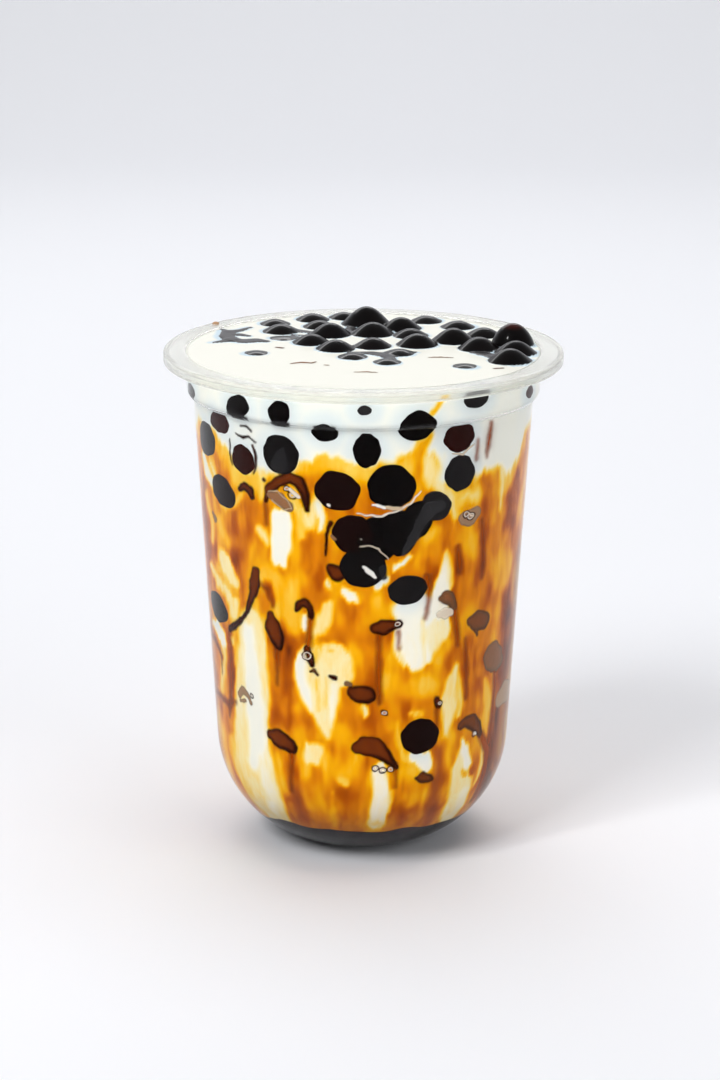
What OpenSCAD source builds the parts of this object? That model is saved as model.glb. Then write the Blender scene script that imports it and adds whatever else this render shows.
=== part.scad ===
// Iced milk tea with tapioca pearls in a clear, round-bottomed plastic cup.
// The cup stands on its foot ring at z = 0, with its axis on Z. Sizes are in millimetres.

/* [Cup body] */
// Height from the table to the top of the rim
cup_h = 120.5; // [100:0.5:150]
// Outside diameter of the body, just under the step below the rim
body_d = 81; // [65:0.5:100]
// How far the side leans out from the vertical, in degrees
draft = 3.5; // [1:0.25:6]
// Thickness of the wall
wall_t = 0.6; // [0.4:0.05:1.2]
// Radius of the big bend between the side and the bottom
bend_r = 28; // [20:0.5:34]
// Slope of the bottom where it meets the foot ring, in degrees
bottom_slope = 13.5; // [10:0.5:20]

/* [Foot ring] */
// Width of the flat ring that the cup stands on
foot_w = 1.2; // [0.8:0.1:2.5]
// Height of the hollow inside the foot ring
foot_h = 0.8; // [0.4:0.1:1.5]

/* [Collar and rim] */
// Distance from the top of the rim down to the step
collar_h = 10.5; // [8:0.25:14]
// Width of the step, which is also the radius of its rounding
step_w = 1.5; // [1:0.1:2.5]
// Width of the rim outside the collar
rim_w = 5.5; // [4:0.1:8]
// Thickness of the rim plate
rim_t = 1; // [0.8:0.1:1.3]
// Radius of the rounding from the inside of the collar to the top of the rim
mouth_r = 1.5; // [1.3:0.1:2]
// Height of the turned-down lip at the outer edge of the rim
lip_h = 2.7; // [2:0.1:4]
// Thickness of the turned-down lip
lip_t = 1.1; // [0.8:0.1:1.5]
// Radius of the rounding on the lip's top outer edge
lip_r = 0.7; // [0.3:0.1:0.8]

/* [Drink] */
// Distance from the top of the rim down to the surface of the milk tea
fill_gap = 0.3; // [0.2:0.1:1]
// Depth of the dark syrup that lies on the bottom of the cup
syrup_h = 8.6; // [3:0.2:12]

/* [Tapioca pearls] */
// Diameter of a middling pearl
pearl_d = 9.4; // [7:0.1:11.5]
// Gap between the wall and the pearls that lie nearest to it
pearl_gap = 0.1; // [0.05:0.05:1]

/* [Hidden] */
$fn = 96;
bend_steps = 14;
round_steps = 6;

body_r = body_d / 2;
step_z = cup_h - collar_h;
collar_r = body_r + step_w;
mouth_in_r = collar_r - wall_t;
rim_r = collar_r + rim_w;
fill_z = cup_h - fill_gap;

// The bend: its centre, and where it ends at the foot ring
bend_top_z = bend_r * (cos(bottom_slope) - sin(draft));
bend_x = body_r - tan(draft) * (step_z - bend_top_z) - bend_r * cos(draft);
bend_z = bend_r * cos(bottom_slope);
foot_r = bend_x + bend_r * sin(bottom_slope);

// The inside floor, and where the inside of the bend reaches it
floor_z = foot_h + wall_t;
bend_in_r = bend_r - wall_t;
floor_r = bend_x + sqrt(pow(bend_in_r, 2) - pow(bend_z - floor_z, 2));
floor_angle = -acos((floor_r - bend_x) / bend_in_r);
syrup_z = floor_z + syrup_h;

// Each pearl that breaks the surface: its place to the right of the axis and behind it, as a
// percentage of the way to the wall, its size as a share of a middling pearl, and how far it
// rises above the milk tea in millimetres
PEARLS = [
    [-59, 79, 0.96, 1.2],
    [-34, 93, 0.95, 1.6],
    [-13, 99, 0.85, 1.4],
    [2, 82, 1.15, 4.4],
    [-55, 56, 1.04, 1.8],
    [-29, 70, 0.91, 1.6],
    [-22, 46, 1.00, 2.9],
    [-34, 21, 0.96, 2.1],
    [-18, 2, 0.98, 2.2],
    [6, 49, 1.04, 2.9],
    [25, 66, 0.97, 2.8],
    [42, 89, 0.94, 1.4],
    [31, 43, 0.98, 1.8],
    [35, 15, 1.00, 2.7],
    [6, 10, 0.95, 2.1],
    [23, -12, 1.02, 1.1],
    [-7, -23, 0.99, 1.0],
    [15, -38, 0.94, 0.9],
    [63, 71, 0.99, 1.6],
    [59, 28, 1.02, 3.1],
    [79, 45, 0.95, 1.9],
    [98, 17, 1.04, 5.2],
    [98, -9, 0.98, 3.0],
    [75, 4, 0.99, 2.8],
    [94, -33, 1.02, 3.0],
    [-52, 32, 0.90, 0.5],
    [64, -49, 0.97, 0.6],
    [-69, -12, 0.98, 0.6]
];

function pearl_r(i) = PEARLS[i][2] * pearl_d / 2;
function pearl_reach(i) = mouth_in_r - pearl_gap - pearl_r(i);
function pearl_at(i) = [
    PEARLS[i][0] / 100 * pearl_reach(i),
    PEARLS[i][1] / 100 * pearl_reach(i),
    fill_z + PEARLS[i][3] - pearl_r(i)
];
function pearl_name(i) = str("pearl_", i < 9 ? "0" : "", i + 1);

// Points along an arc about (x, z), from one angle to another, both ends included
function arc(x, z, r, from, to, steps) =
    [for (i = [0 : steps]) let (a = from + (to - from) * i / steps) [x + r * cos(a), z + r * sin(a)]];

// The inside surface from the floor up to the step
function inner_body() = concat(
    arc(bend_x, bend_z, bend_in_r, floor_angle, -draft, bend_steps),
    arc(body_r, step_z, wall_t, 180, 90, round_steps),
    arc(body_r, step_z + step_w, step_w - wall_t, -90, 0, round_steps)
);

// The rounding from the inside of the collar up to the angle where it meets a level
function mouth_arc(to) = arc(mouth_in_r + mouth_r, cup_h - mouth_r, mouth_r, 180, to, round_steps);

// The outside surface from the foot ring up to the lip's outer edge
function outer_body() = concat(
    arc(bend_x, bend_z, bend_r, bottom_slope - 90, -draft, bend_steps),
    [[body_r, step_z]],
    arc(body_r, step_z + step_w, step_w, -90, 0, round_steps),
    [
        [collar_r, cup_h - rim_t],
        [rim_r - lip_t, cup_h - rim_t],
        [rim_r - lip_t, cup_h - lip_h],
        [rim_r, cup_h - lip_h]
    ],
    arc(rim_r - lip_r, cup_h - lip_r, lip_r, 0, 90, round_steps)
);

function reversed(points) = [for (i = [len(points) - 1 : -1 : 0]) points[i]];

module cup() {
    color([0.93, 0.95, 0.96, 0.35])
    rotate_extrude()
    polygon(concat(
        [[0, foot_h], [foot_r - foot_w, foot_h], [foot_r - foot_w, 0]],
        outer_body(),
        reversed(mouth_arc(90)),
        reversed(inner_body()),
        [[0, floor_z]]
    ));
}

// All that the cup holds, filled to the level of the milk tea
module contents() {
    fill_angle = 180 - asin(1 - fill_gap / mouth_r);
    rotate_extrude()
    polygon(concat([[0, floor_z]], inner_body(), mouth_arc(fill_angle), [[0, fill_z]]));
}

// The space under the top of the dark syrup
module syrup_space() {
    cylinder(h = syrup_z, r = rim_r);
}

module milk_tea() {
    color([0.95, 0.92, 0.83])
    difference() {
        contents();
        syrup_space();
        for (i = [0 : len(PEARLS) - 1]) translate(pearl_at(i)) sphere(r = pearl_r(i));
    }
}

module syrup_layer() {
    color([0.13, 0.09, 0.07])
    intersection() {
        contents();
        syrup_space();
    }
}

// The far side of the flat face along which pearl j presses against pearl i
module pressed_side(i, j) {
    step = pearl_at(j) - pearl_at(i);
    reach = norm(step);
    face = (pow(reach, 2) + pow(pearl_r(i), 2) - pow(pearl_r(j), 2)) / (2 * reach);
    translate(pearl_at(i))
    rotate([0, acos(step[2] / reach), atan2(step[1], step[0])])
    translate([-pearl_d, -pearl_d, face])
    cube(2 * pearl_d);
}

module pearl(i) {
    color([0.09, 0.06, 0.05])
    difference() {
        translate(pearl_at(i)) sphere(r = pearl_r(i));
        for (j = [0 : len(PEARLS) - 1])
            if (j != i && norm(pearl_at(j) - pearl_at(i)) < pearl_r(i) + pearl_r(j)) pressed_side(i, j);
    }
}

cup();
milk_tea();
syrup_layer();
for (i = [0 : len(PEARLS) - 1])
    pearl(i);
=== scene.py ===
import math

import bpy
import numpy as np
from bpy.props import FloatProperty, FloatVectorProperty, IntProperty, PointerProperty
from bpy.types import Operator, Panel, PropertyGroup
from mathutils import Matrix, Vector


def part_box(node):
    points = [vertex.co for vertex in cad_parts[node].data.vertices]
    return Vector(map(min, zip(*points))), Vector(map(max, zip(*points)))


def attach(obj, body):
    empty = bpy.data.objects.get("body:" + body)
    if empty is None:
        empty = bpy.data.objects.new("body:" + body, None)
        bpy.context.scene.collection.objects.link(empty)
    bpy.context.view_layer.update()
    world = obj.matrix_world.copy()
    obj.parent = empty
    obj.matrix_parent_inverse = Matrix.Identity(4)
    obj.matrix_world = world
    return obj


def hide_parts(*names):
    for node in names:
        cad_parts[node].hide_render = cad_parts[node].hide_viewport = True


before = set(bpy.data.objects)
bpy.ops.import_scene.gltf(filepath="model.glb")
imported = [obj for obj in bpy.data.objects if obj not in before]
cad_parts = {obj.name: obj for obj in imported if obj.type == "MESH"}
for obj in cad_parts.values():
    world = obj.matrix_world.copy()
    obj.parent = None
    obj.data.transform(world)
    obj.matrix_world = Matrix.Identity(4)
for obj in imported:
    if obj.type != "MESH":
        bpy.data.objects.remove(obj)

bl_info = {
    "name": "Bubble Tea Looks",
    "version": (1, 0, 0),
    "blender": (4, 5, 0),
    "location": "3D View > Sidebar > Bubble Tea",
    "description": "Dresses the bubble tea: clear cup, streaked milk tea, syrup and tapioca pearls",
    "category": "Object",
}

MM = 0.001
BODY = "root"


# ---------------------------------------------------------------- helpers: numbers

def smoothstep(edge0, edge1, value):
    """0 at the first edge, 1 at the second, and an even S between them, whichever edge is higher."""
    share = np.clip((value - edge0) / (edge1 - edge0), 0.0, 1.0)
    return share * share * (3.0 - 2.0 * share)


def linear(red, green, blue):
    """A colour given as 0-255 display values, as the linear colour that the shaders use."""
    channels = []
    for value in (red, green, blue):
        share = value / 255.0
        channels.append(share / 12.92 if share <= 0.04045 else ((share + 0.055) / 1.055) ** 2.4)
    return (*channels, 1.0)


class Noise:
    """Smooth seeded noise over the plane, about -1 to 1, made of a few rotated waves per octave."""

    def __init__(self, seed, size, octaves=3, waves=7):
        rng = np.random.default_rng(seed)
        self.parts = []
        for octave in range(octaves):
            scale = size / 2 ** octave
            for _ in range(waves):
                angle = rng.uniform(0, 2 * math.pi)
                length = scale * rng.uniform(0.7, 1.5)
                self.parts.append((
                    2 * math.pi * math.cos(angle) / length,
                    2 * math.pi * math.sin(angle) / length,
                    rng.uniform(0, 2 * math.pi),
                    0.6 ** octave,
                ))
        self.total = math.sqrt(sum(part[3] ** 2 for part in self.parts) / 2) * 1.8

    def __call__(self, x, y):
        value = 0.0
        for kx, ky, phase, height in self.parts:
            value = value + height * np.sin(kx * x + ky * y + phase)
        return value / self.total


# ---------------------------------------------------------------- helpers: the cup's shape

def corner(node):
    """The lowest and highest corner of a CAD node, in millimetres."""
    low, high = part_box(node)
    return low / MM, high / MM


def inside_profile():
    """The cup's inside as rows of radius and height in millimetres, from the floor's edge to the brim."""
    points = []
    for node in ("milk_tea", "syrup_layer"):
        co = np.array([v.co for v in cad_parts[node].data.vertices]) / MM
        points.append(np.stack([np.hypot(co[:, 0], co[:, 1]), co[:, 2]], 1))
    points = np.concatenate(points)
    heights = np.round(points[:, 1], 2)
    rows = []
    for height in np.unique(heights):
        rows.append((points[heights == height, 0].max(), height))
    rows = np.array(rows)
    keep = [0]
    for index in range(1, len(rows)):
        if rows[index, 0] >= rows[keep[-1], 0] - 0.02:
            keep.append(index)
    return rows[keep]


PROFILE = inside_profile()
FILL = float(PROFILE[-1, 1])

# A middling inside radius, and the length that one degree takes up along it
WALL_RADIUS = 38.0
DEGREE = WALL_RADIUS * math.pi / 180.0

# How far the drink's skin reaches into the wall, and how far its top lies below the level
SKIN = 0.1
SURFACE_DROP = 0.05


def inner_radius(height):
    return np.interp(height, PROFILE[:, 1], PROFILE[:, 0])


def on_wall(degrees, height, depth=0.0):
    """The point on the wall's inside at an angle from the front and a height, moved outwards by depth."""
    angle = np.radians(degrees)
    radius = inner_radius(height) + depth
    return np.stack([radius * np.sin(angle), -radius * np.cos(angle), height + 0.0 * angle], -1)


# ---------------------------------------------------------------- helpers: meshes

def grid_faces(rows, columns, wrap=True):
    """The four-sided faces of a grid of points, closed round its columns unless wrap is off."""
    first = np.arange(rows - 1)[:, None] * columns
    column = np.arange(columns if wrap else columns - 1)[None, :]
    following = (column + 1) % columns
    return np.stack([
        first + column,
        first + following,
        first + columns + following,
        first + columns + column,
    ], -1).reshape(-1, 4)


def kept_part(points, faces, keep):
    """The faces with every corner kept, with the points they use and those points' old numbers."""
    faces = faces[keep.ravel()[faces].all(1)]
    used = np.unique(faces)
    place = np.full(keep.size, -1)
    place[used] = np.arange(len(used))
    return points.reshape(-1, 3)[used], place[faces], used


def add_piece(name, points, faces, material, values=None, nodes=(), sharp=None, second=None):
    """A smooth mesh piece, in millimetres, that rides on the cup and can carry values for its shader.

    Edges steeper than the sharp angle stay hard. The second material goes to the faces that its mask picks.
    """
    mesh = bpy.data.meshes.new(name)
    mesh.from_pydata((np.asarray(points) * MM).tolist(), [], [tuple(face) for face in faces])
    for key, data in (values or {}).items():
        attribute = mesh.attributes.new(key, "FLOAT", "POINT")
        attribute.data.foreach_set("value", np.asarray(data, np.float32).ravel())
    mesh.polygons.foreach_set("use_smooth", np.ones(len(mesh.polygons), bool))
    mesh.materials.append(material)
    if second:
        mesh.materials.append(second[0])
        mesh.polygons.foreach_set("material_index", np.asarray(second[1], np.int32))
    mesh.validate()
    mesh.update()
    if sharp:
        mesh.set_sharp_from_angle(angle=math.radians(sharp))
    piece = bpy.data.objects.new(name, mesh)
    bpy.context.scene.collection.objects.link(piece)
    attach(piece, BODY)
    if nodes:
        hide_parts(*nodes)


class Bundle:
    """Gathers several small meshes into one piece."""

    def __init__(self):
        self.points, self.faces, self.values, self.count = [], [], {}, 0

    def add(self, points, faces, **values):
        points = np.asarray(points, float).reshape(-1, 3)
        self.points.append(points)
        self.faces.extend([tuple(int(i) + self.count for i in face) for face in faces])
        for key, data in values.items():
            data = np.broadcast_to(np.asarray(data, float).ravel(), (len(points),))
            self.values.setdefault(key, []).append(data)
        self.count += len(points)

    def finish(self, name, material):
        values = {key: np.concatenate(parts) for key, parts in self.values.items()}
        add_piece(name, np.concatenate(self.points), self.faces, material, values)


def closed_grid(grid):
    """A grid of points (rows, columns, 3) closed round its columns and capped by a point at each end."""
    rows, columns = grid.shape[:2]
    points = grid.reshape(-1, 3)
    first, last = grid[0].mean(0), grid[-1].mean(0)
    points = np.concatenate([points, [first, last]])
    faces = [tuple(face) for face in grid_faces(rows, columns)]
    top, bottom = rows * columns, rows * columns + 1
    start = (rows - 1) * columns
    for column in range(columns):
        following = (column + 1) % columns
        faces.append((top, following, column))
        faces.append((bottom, start + column, start + following))
    return points, faces


# ---------------------------------------------------------------- helpers: materials

def new_material(name):
    """A material with just its main shader, wired to the output."""
    material = bpy.data.materials.new(name)
    material.use_nodes = True
    tree = material.node_tree
    tree.nodes.clear()
    output = tree.nodes.new("ShaderNodeOutputMaterial")
    shader = tree.nodes.new("ShaderNodeBsdfPrincipled")
    tree.links.new(shader.outputs["BSDF"], output.inputs["Surface"])
    return material, tree, shader


def set_inputs(node, **values):
    for key, value in values.items():
        node.inputs[key.replace("_", " ")].default_value = value


def attribute_node(tree, name):
    node = tree.nodes.new("ShaderNodeAttribute")
    node.attribute_name = name
    return node.outputs["Fac"]


def math_node(tree, operation, first, second=None, clamp=False):
    node = tree.nodes.new("ShaderNodeMath")
    node.operation = operation
    node.use_clamp = clamp
    for index, value in enumerate((first, second)):
        if value is None:
            continue
        if isinstance(value, (int, float)):
            node.inputs[index].default_value = value
        else:
            tree.links.new(value, node.inputs[index])
    return node.outputs[0]


def ramp_node(tree, factor, stops):
    """A colour ramp from its stops, each a position and a colour."""
    node = tree.nodes.new("ShaderNodeValToRGB")
    elements = node.color_ramp.elements
    while len(elements) > 1:
        elements.remove(elements[-1])
    for index, (position, colour) in enumerate(stops):
        element = elements[0] if index == 0 else elements.new(position)
        element.position = position
        element.color = colour
    tree.links.new(factor, node.inputs["Fac"])
    return node.outputs["Color"]


def mix_node(tree, factor, first, second, blend="MIX"):
    """A mix of two colours, through the sockets of the mix node that carry colours."""
    factor_input, first_input, second_input, colour_output = 0, 6, 7, 2
    node = tree.nodes.new("ShaderNodeMix")
    node.data_type = "RGBA"
    node.blend_type = blend
    for index, value in ((factor_input, factor), (first_input, first), (second_input, second)):
        if isinstance(value, (int, float, tuple)):
            node.inputs[index].default_value = value
        else:
            tree.links.new(value, node.inputs[index])
    return node.outputs[colour_output]


def mottle_group():
    """Cloudy noise over a piece's own place, which can be stretched along each direction."""
    group = bpy.data.node_groups.get("mottle")
    if group:
        return group
    group = bpy.data.node_groups.new("mottle", "ShaderNodeTree")
    kinds = {"Scale": "Float", "Stretch": "Vector", "Detail": "Float", "Distortion": "Float"}
    for name, kind in kinds.items():
        group.interface.new_socket(name, in_out="INPUT", socket_type="NodeSocket" + kind)
    group.interface.new_socket("Value", in_out="OUTPUT", socket_type="NodeSocketFloat")
    given = group.nodes.new("NodeGroupInput")
    result = group.nodes.new("NodeGroupOutput")
    place = group.nodes.new("ShaderNodeTexCoord")
    mapping = group.nodes.new("ShaderNodeMapping")
    noise = group.nodes.new("ShaderNodeTexNoise")
    group.links.new(place.outputs["Object"], mapping.inputs["Vector"])
    group.links.new(given.outputs["Stretch"], mapping.inputs["Scale"])
    group.links.new(mapping.outputs["Vector"], noise.inputs["Vector"])
    for name in ("Scale", "Detail", "Distortion"):
        group.links.new(given.outputs[name], noise.inputs[name])
    group.links.new(noise.outputs["Fac"], result.inputs["Value"])
    return group


def mottle_node(tree, scale, stretch=(1, 1, 1), detail=3, distortion=0.5):
    node = tree.nodes.new("ShaderNodeGroup")
    node.node_tree = mottle_group()
    set_inputs(node, Scale=scale, Stretch=stretch, Detail=detail, Distortion=distortion)
    return node.outputs["Value"]


def plastic_material(name, tint, clearness, roughness, gloss):
    """Clear plastic that bends light a little and lets it through to make light shadows."""
    material, tree, shader = new_material(name)
    output = tree.nodes["Material Output"]
    set_inputs(shader, Base_Color=(*tint, 1), Roughness=roughness, IOR=1.3, Transmission_Weight=clearness)
    set_inputs(shader, Specular_IOR_Level=gloss, Specular_Tint=(gloss, gloss, gloss, 1))
    clear = tree.nodes.new("ShaderNodeBsdfTransparent")
    clear.inputs["Color"].default_value = (0.96, 0.965, 0.965, 1)
    path = tree.nodes.new("ShaderNodeLightPath")
    mix = tree.nodes.new("ShaderNodeMixShader")
    tree.links.new(path.outputs["Is Shadow Ray"], mix.inputs["Fac"])
    tree.links.new(shader.outputs["BSDF"], mix.inputs[1])
    tree.links.new(clear.outputs["BSDF"], mix.inputs[2])
    tree.links.new(mix.outputs["Shader"], output.inputs["Surface"])
    return material


def tea_material(milk, amber, brown):
    """Milk tea whose painted share of syrup runs from white through amber and brown to nearly black."""
    material, tree, shader = new_material("milk_tea")
    syrup = attribute_node(tree, "syrup")
    haze = attribute_node(tree, "haze")
    fine = mottle_node(tree, 900, stretch=(1, 1, 0.3), detail=4, distortion=0.4)
    wide = mottle_node(tree, 260, stretch=(1, 1, 0.35), distortion=0.8)
    grain = math_node(tree, "MULTIPLY", math_node(tree, "SUBTRACT", fine, 0.5), 0.10)
    drift = math_node(tree, "MULTIPLY", math_node(tree, "SUBTRACT", wide, 0.5), 0.22)
    active = math_node(tree, "MULTIPLY", syrup, 6.0, clamp=True)
    moved = math_node(tree, "MULTIPLY", math_node(tree, "ADD", grain, drift), active)
    value = math_node(tree, "ADD", syrup, moved, clamp=True)
    colour = ramp_node(tree, value, [
        (0.00, (*milk, 1)),
        (0.09, linear(251, 247, 232)),
        (0.20, linear(252, 236, 180)),
        (0.32, linear(252, 212, 84)),
        (0.44, (*amber, 1)),
        (0.55, linear(228, 138, 0)),
        (0.66, linear(190, 94, 0)),
        (0.76, (*brown, 1)),
        (0.86, linear(98, 36, 4)),
        (1.00, linear(36, 14, 10)),
    ])
    # The open top: painted a lighter milk than at the wall, standing in for the light it gets from above, and
    # given a wet coat
    uncovered_and_lit = attribute_node(tree, "open")
    # Painted shade and greyer streaks, mixed towards greyish brown
    colour = mix_node(tree, haze, colour, linear(128, 94, 76))
    colour = mix_node(tree, uncovered_and_lit, colour, linear(247, 246, 236))
    colour = mix_node(tree, attribute_node(tree, "blue"), colour, linear(196, 220, 236))
    colour = mix_node(tree, attribute_node(tree, "film"), colour, linear(14, 9, 10))
    tree.links.new(colour, shader.inputs["Base Color"])
    tree.links.new(math_node(tree, "MULTIPLY", uncovered_and_lit, 0.25), shader.inputs["Coat Weight"])
    set_inputs(shader, Roughness=0.5, Specular_IOR_Level=0.02, Coat_Roughness=0.12)
    return material


def syrup_material(tint):
    """Dark brown-sugar syrup with a slight mottle."""
    material, tree, shader = new_material("brown_sugar_syrup")
    mottle = mottle_node(tree, 160)
    shade = ramp_node(tree, mottle, [
        (0.30, (0.5, 0.5, 0.5, 1)),
        (0.55, (1, 1, 1, 1)),
        (0.75, (1.8, 1.5, 1.4, 1)),
    ])
    tree.links.new(mix_node(tree, 1.0, (*tint, 1), shade, "MULTIPLY"), shader.inputs["Base Color"])
    set_inputs(shader, Roughness=0.6, Specular_IOR_Level=0.0)
    return material


def pearl_material(name, tint, coat):
    """Tapioca or its dark skin of syrup, with a wet coat where it isn't behind the wall."""
    material, tree, shader = new_material(name)
    red = attribute_node(tree, "red")
    grey = attribute_node(tree, "grey")
    mottle = mottle_node(tree, 300, distortion=0.3)
    shade = ramp_node(tree, mottle, [(0.35, (0.5, 0.45, 0.5, 1)), (0.7, (1.3, 1.1, 1.1, 1))])
    base = mix_node(tree, 1.0, (*tint, 1), shade, "MULTIPLY")
    base = mix_node(tree, red, base, linear(120, 34, 20))
    base = mix_node(tree, grey, base, linear(76, 72, 74))
    tree.links.new(base, shader.inputs["Base Color"])
    if coat:
        set_inputs(shader, Roughness=0.35, Specular_IOR_Level=0.1)
        set_inputs(shader, Coat_Weight=coat, Coat_Roughness=0.05, Coat_IOR=1.4)
    else:
        set_inputs(shader, Roughness=0.6, Specular_IOR_Level=0.0)
    return material


def drip_material(middle, rim):
    """Thick syrup with a dark edge, which turns pale in foam and in painted glints, and grey on a pearl's face
    and in painted reflections.
    """
    material, tree, shader = new_material("syrup_drips")
    edge = attribute_node(tree, "edge")
    pale = attribute_node(tree, "pale")
    mottle = mottle_node(tree, 700, stretch=(1, 1, 0.6), distortion=0.3)
    swing = math_node(tree, "MULTIPLY", math_node(tree, "SUBTRACT", mottle, 0.5), 0.3)
    value = math_node(tree, "ADD", edge, swing, clamp=True)
    colour = ramp_node(tree, value, [
        (0.0, linear(172, 78, 6)),
        (0.25, (*middle, 1)),
        (0.75, (*rim, 1)),
        (1.0, linear(40, 12, 4)),
    ])
    fair = ramp_node(tree, pale, [
        (0.0, linear(176, 120, 66)),
        (0.6, linear(222, 198, 166)),
        (1.0, linear(252, 250, 246)),
    ])
    colour = mix_node(tree, math_node(tree, "MULTIPLY", pale, 1.6, clamp=True), colour, fair)
    # Grey where a pearl presses on the wall, and painted reflections of light across the pearls
    ash = attribute_node(tree, "ash")
    grey = ramp_node(tree, ash, [(0.0, linear(14, 11, 13)), (1.0, linear(150, 148, 150))])
    colour = mix_node(tree, math_node(tree, "MULTIPLY", ash, 20.0, clamp=True), colour, grey)
    tree.links.new(colour, shader.inputs["Base Color"])
    tree.links.new(attribute_node(tree, "cover"), shader.inputs["Alpha"])
    set_inputs(shader, Roughness=0.6, Specular_IOR_Level=0.0)
    return material


# ---------------------------------------------------------------- the tea's streaks

# Height of the lower edge of the white milk at the top, at angles from the front.
MILK_EDGE = [(-180, 103), (-150, 99), (-120, 104), (-95, 100), (-75, 105), (-60, 105), (-52, 101),
             (-45, 97), (-36, 99), (-28, 99), (-20, 101.5), (-12, 104), (-5, 102), (4, 102), (13, 103),
             (19, 106), (24, 104), (30, 97), (38, 95), (42, 96.5), (50, 98.5), (58, 95), (66, 97),
             (72, 104), (85, 106), (110, 101), (140, 104), (180, 103)]

# Broad fields of orange and brown that lie under the white milk's edge. Each is a stroke: value from 0 milk
# to 1 dark syrup, softness in millimetres, then points as degrees from the front, height and half-width in
# millimetres.
BROAD_STROKES = [
    (0.58, 8, [(-90, 82, 8), (-45, 84, 6), (-44, 78, 5)]),
    (0.56, 8, [(36, 66, 6), (48, 75, 9), (48, 90, 6)]),
    (0.60, 9, [(-85, 17, 5), (-20, 15, 5), (20, 16, 6), (85, 17, 6)]),
    (0.54, 5, [(4, 72, 3), (4, 60, 4), (3, 50, 3), (5, 38, 2)]),
]

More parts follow.
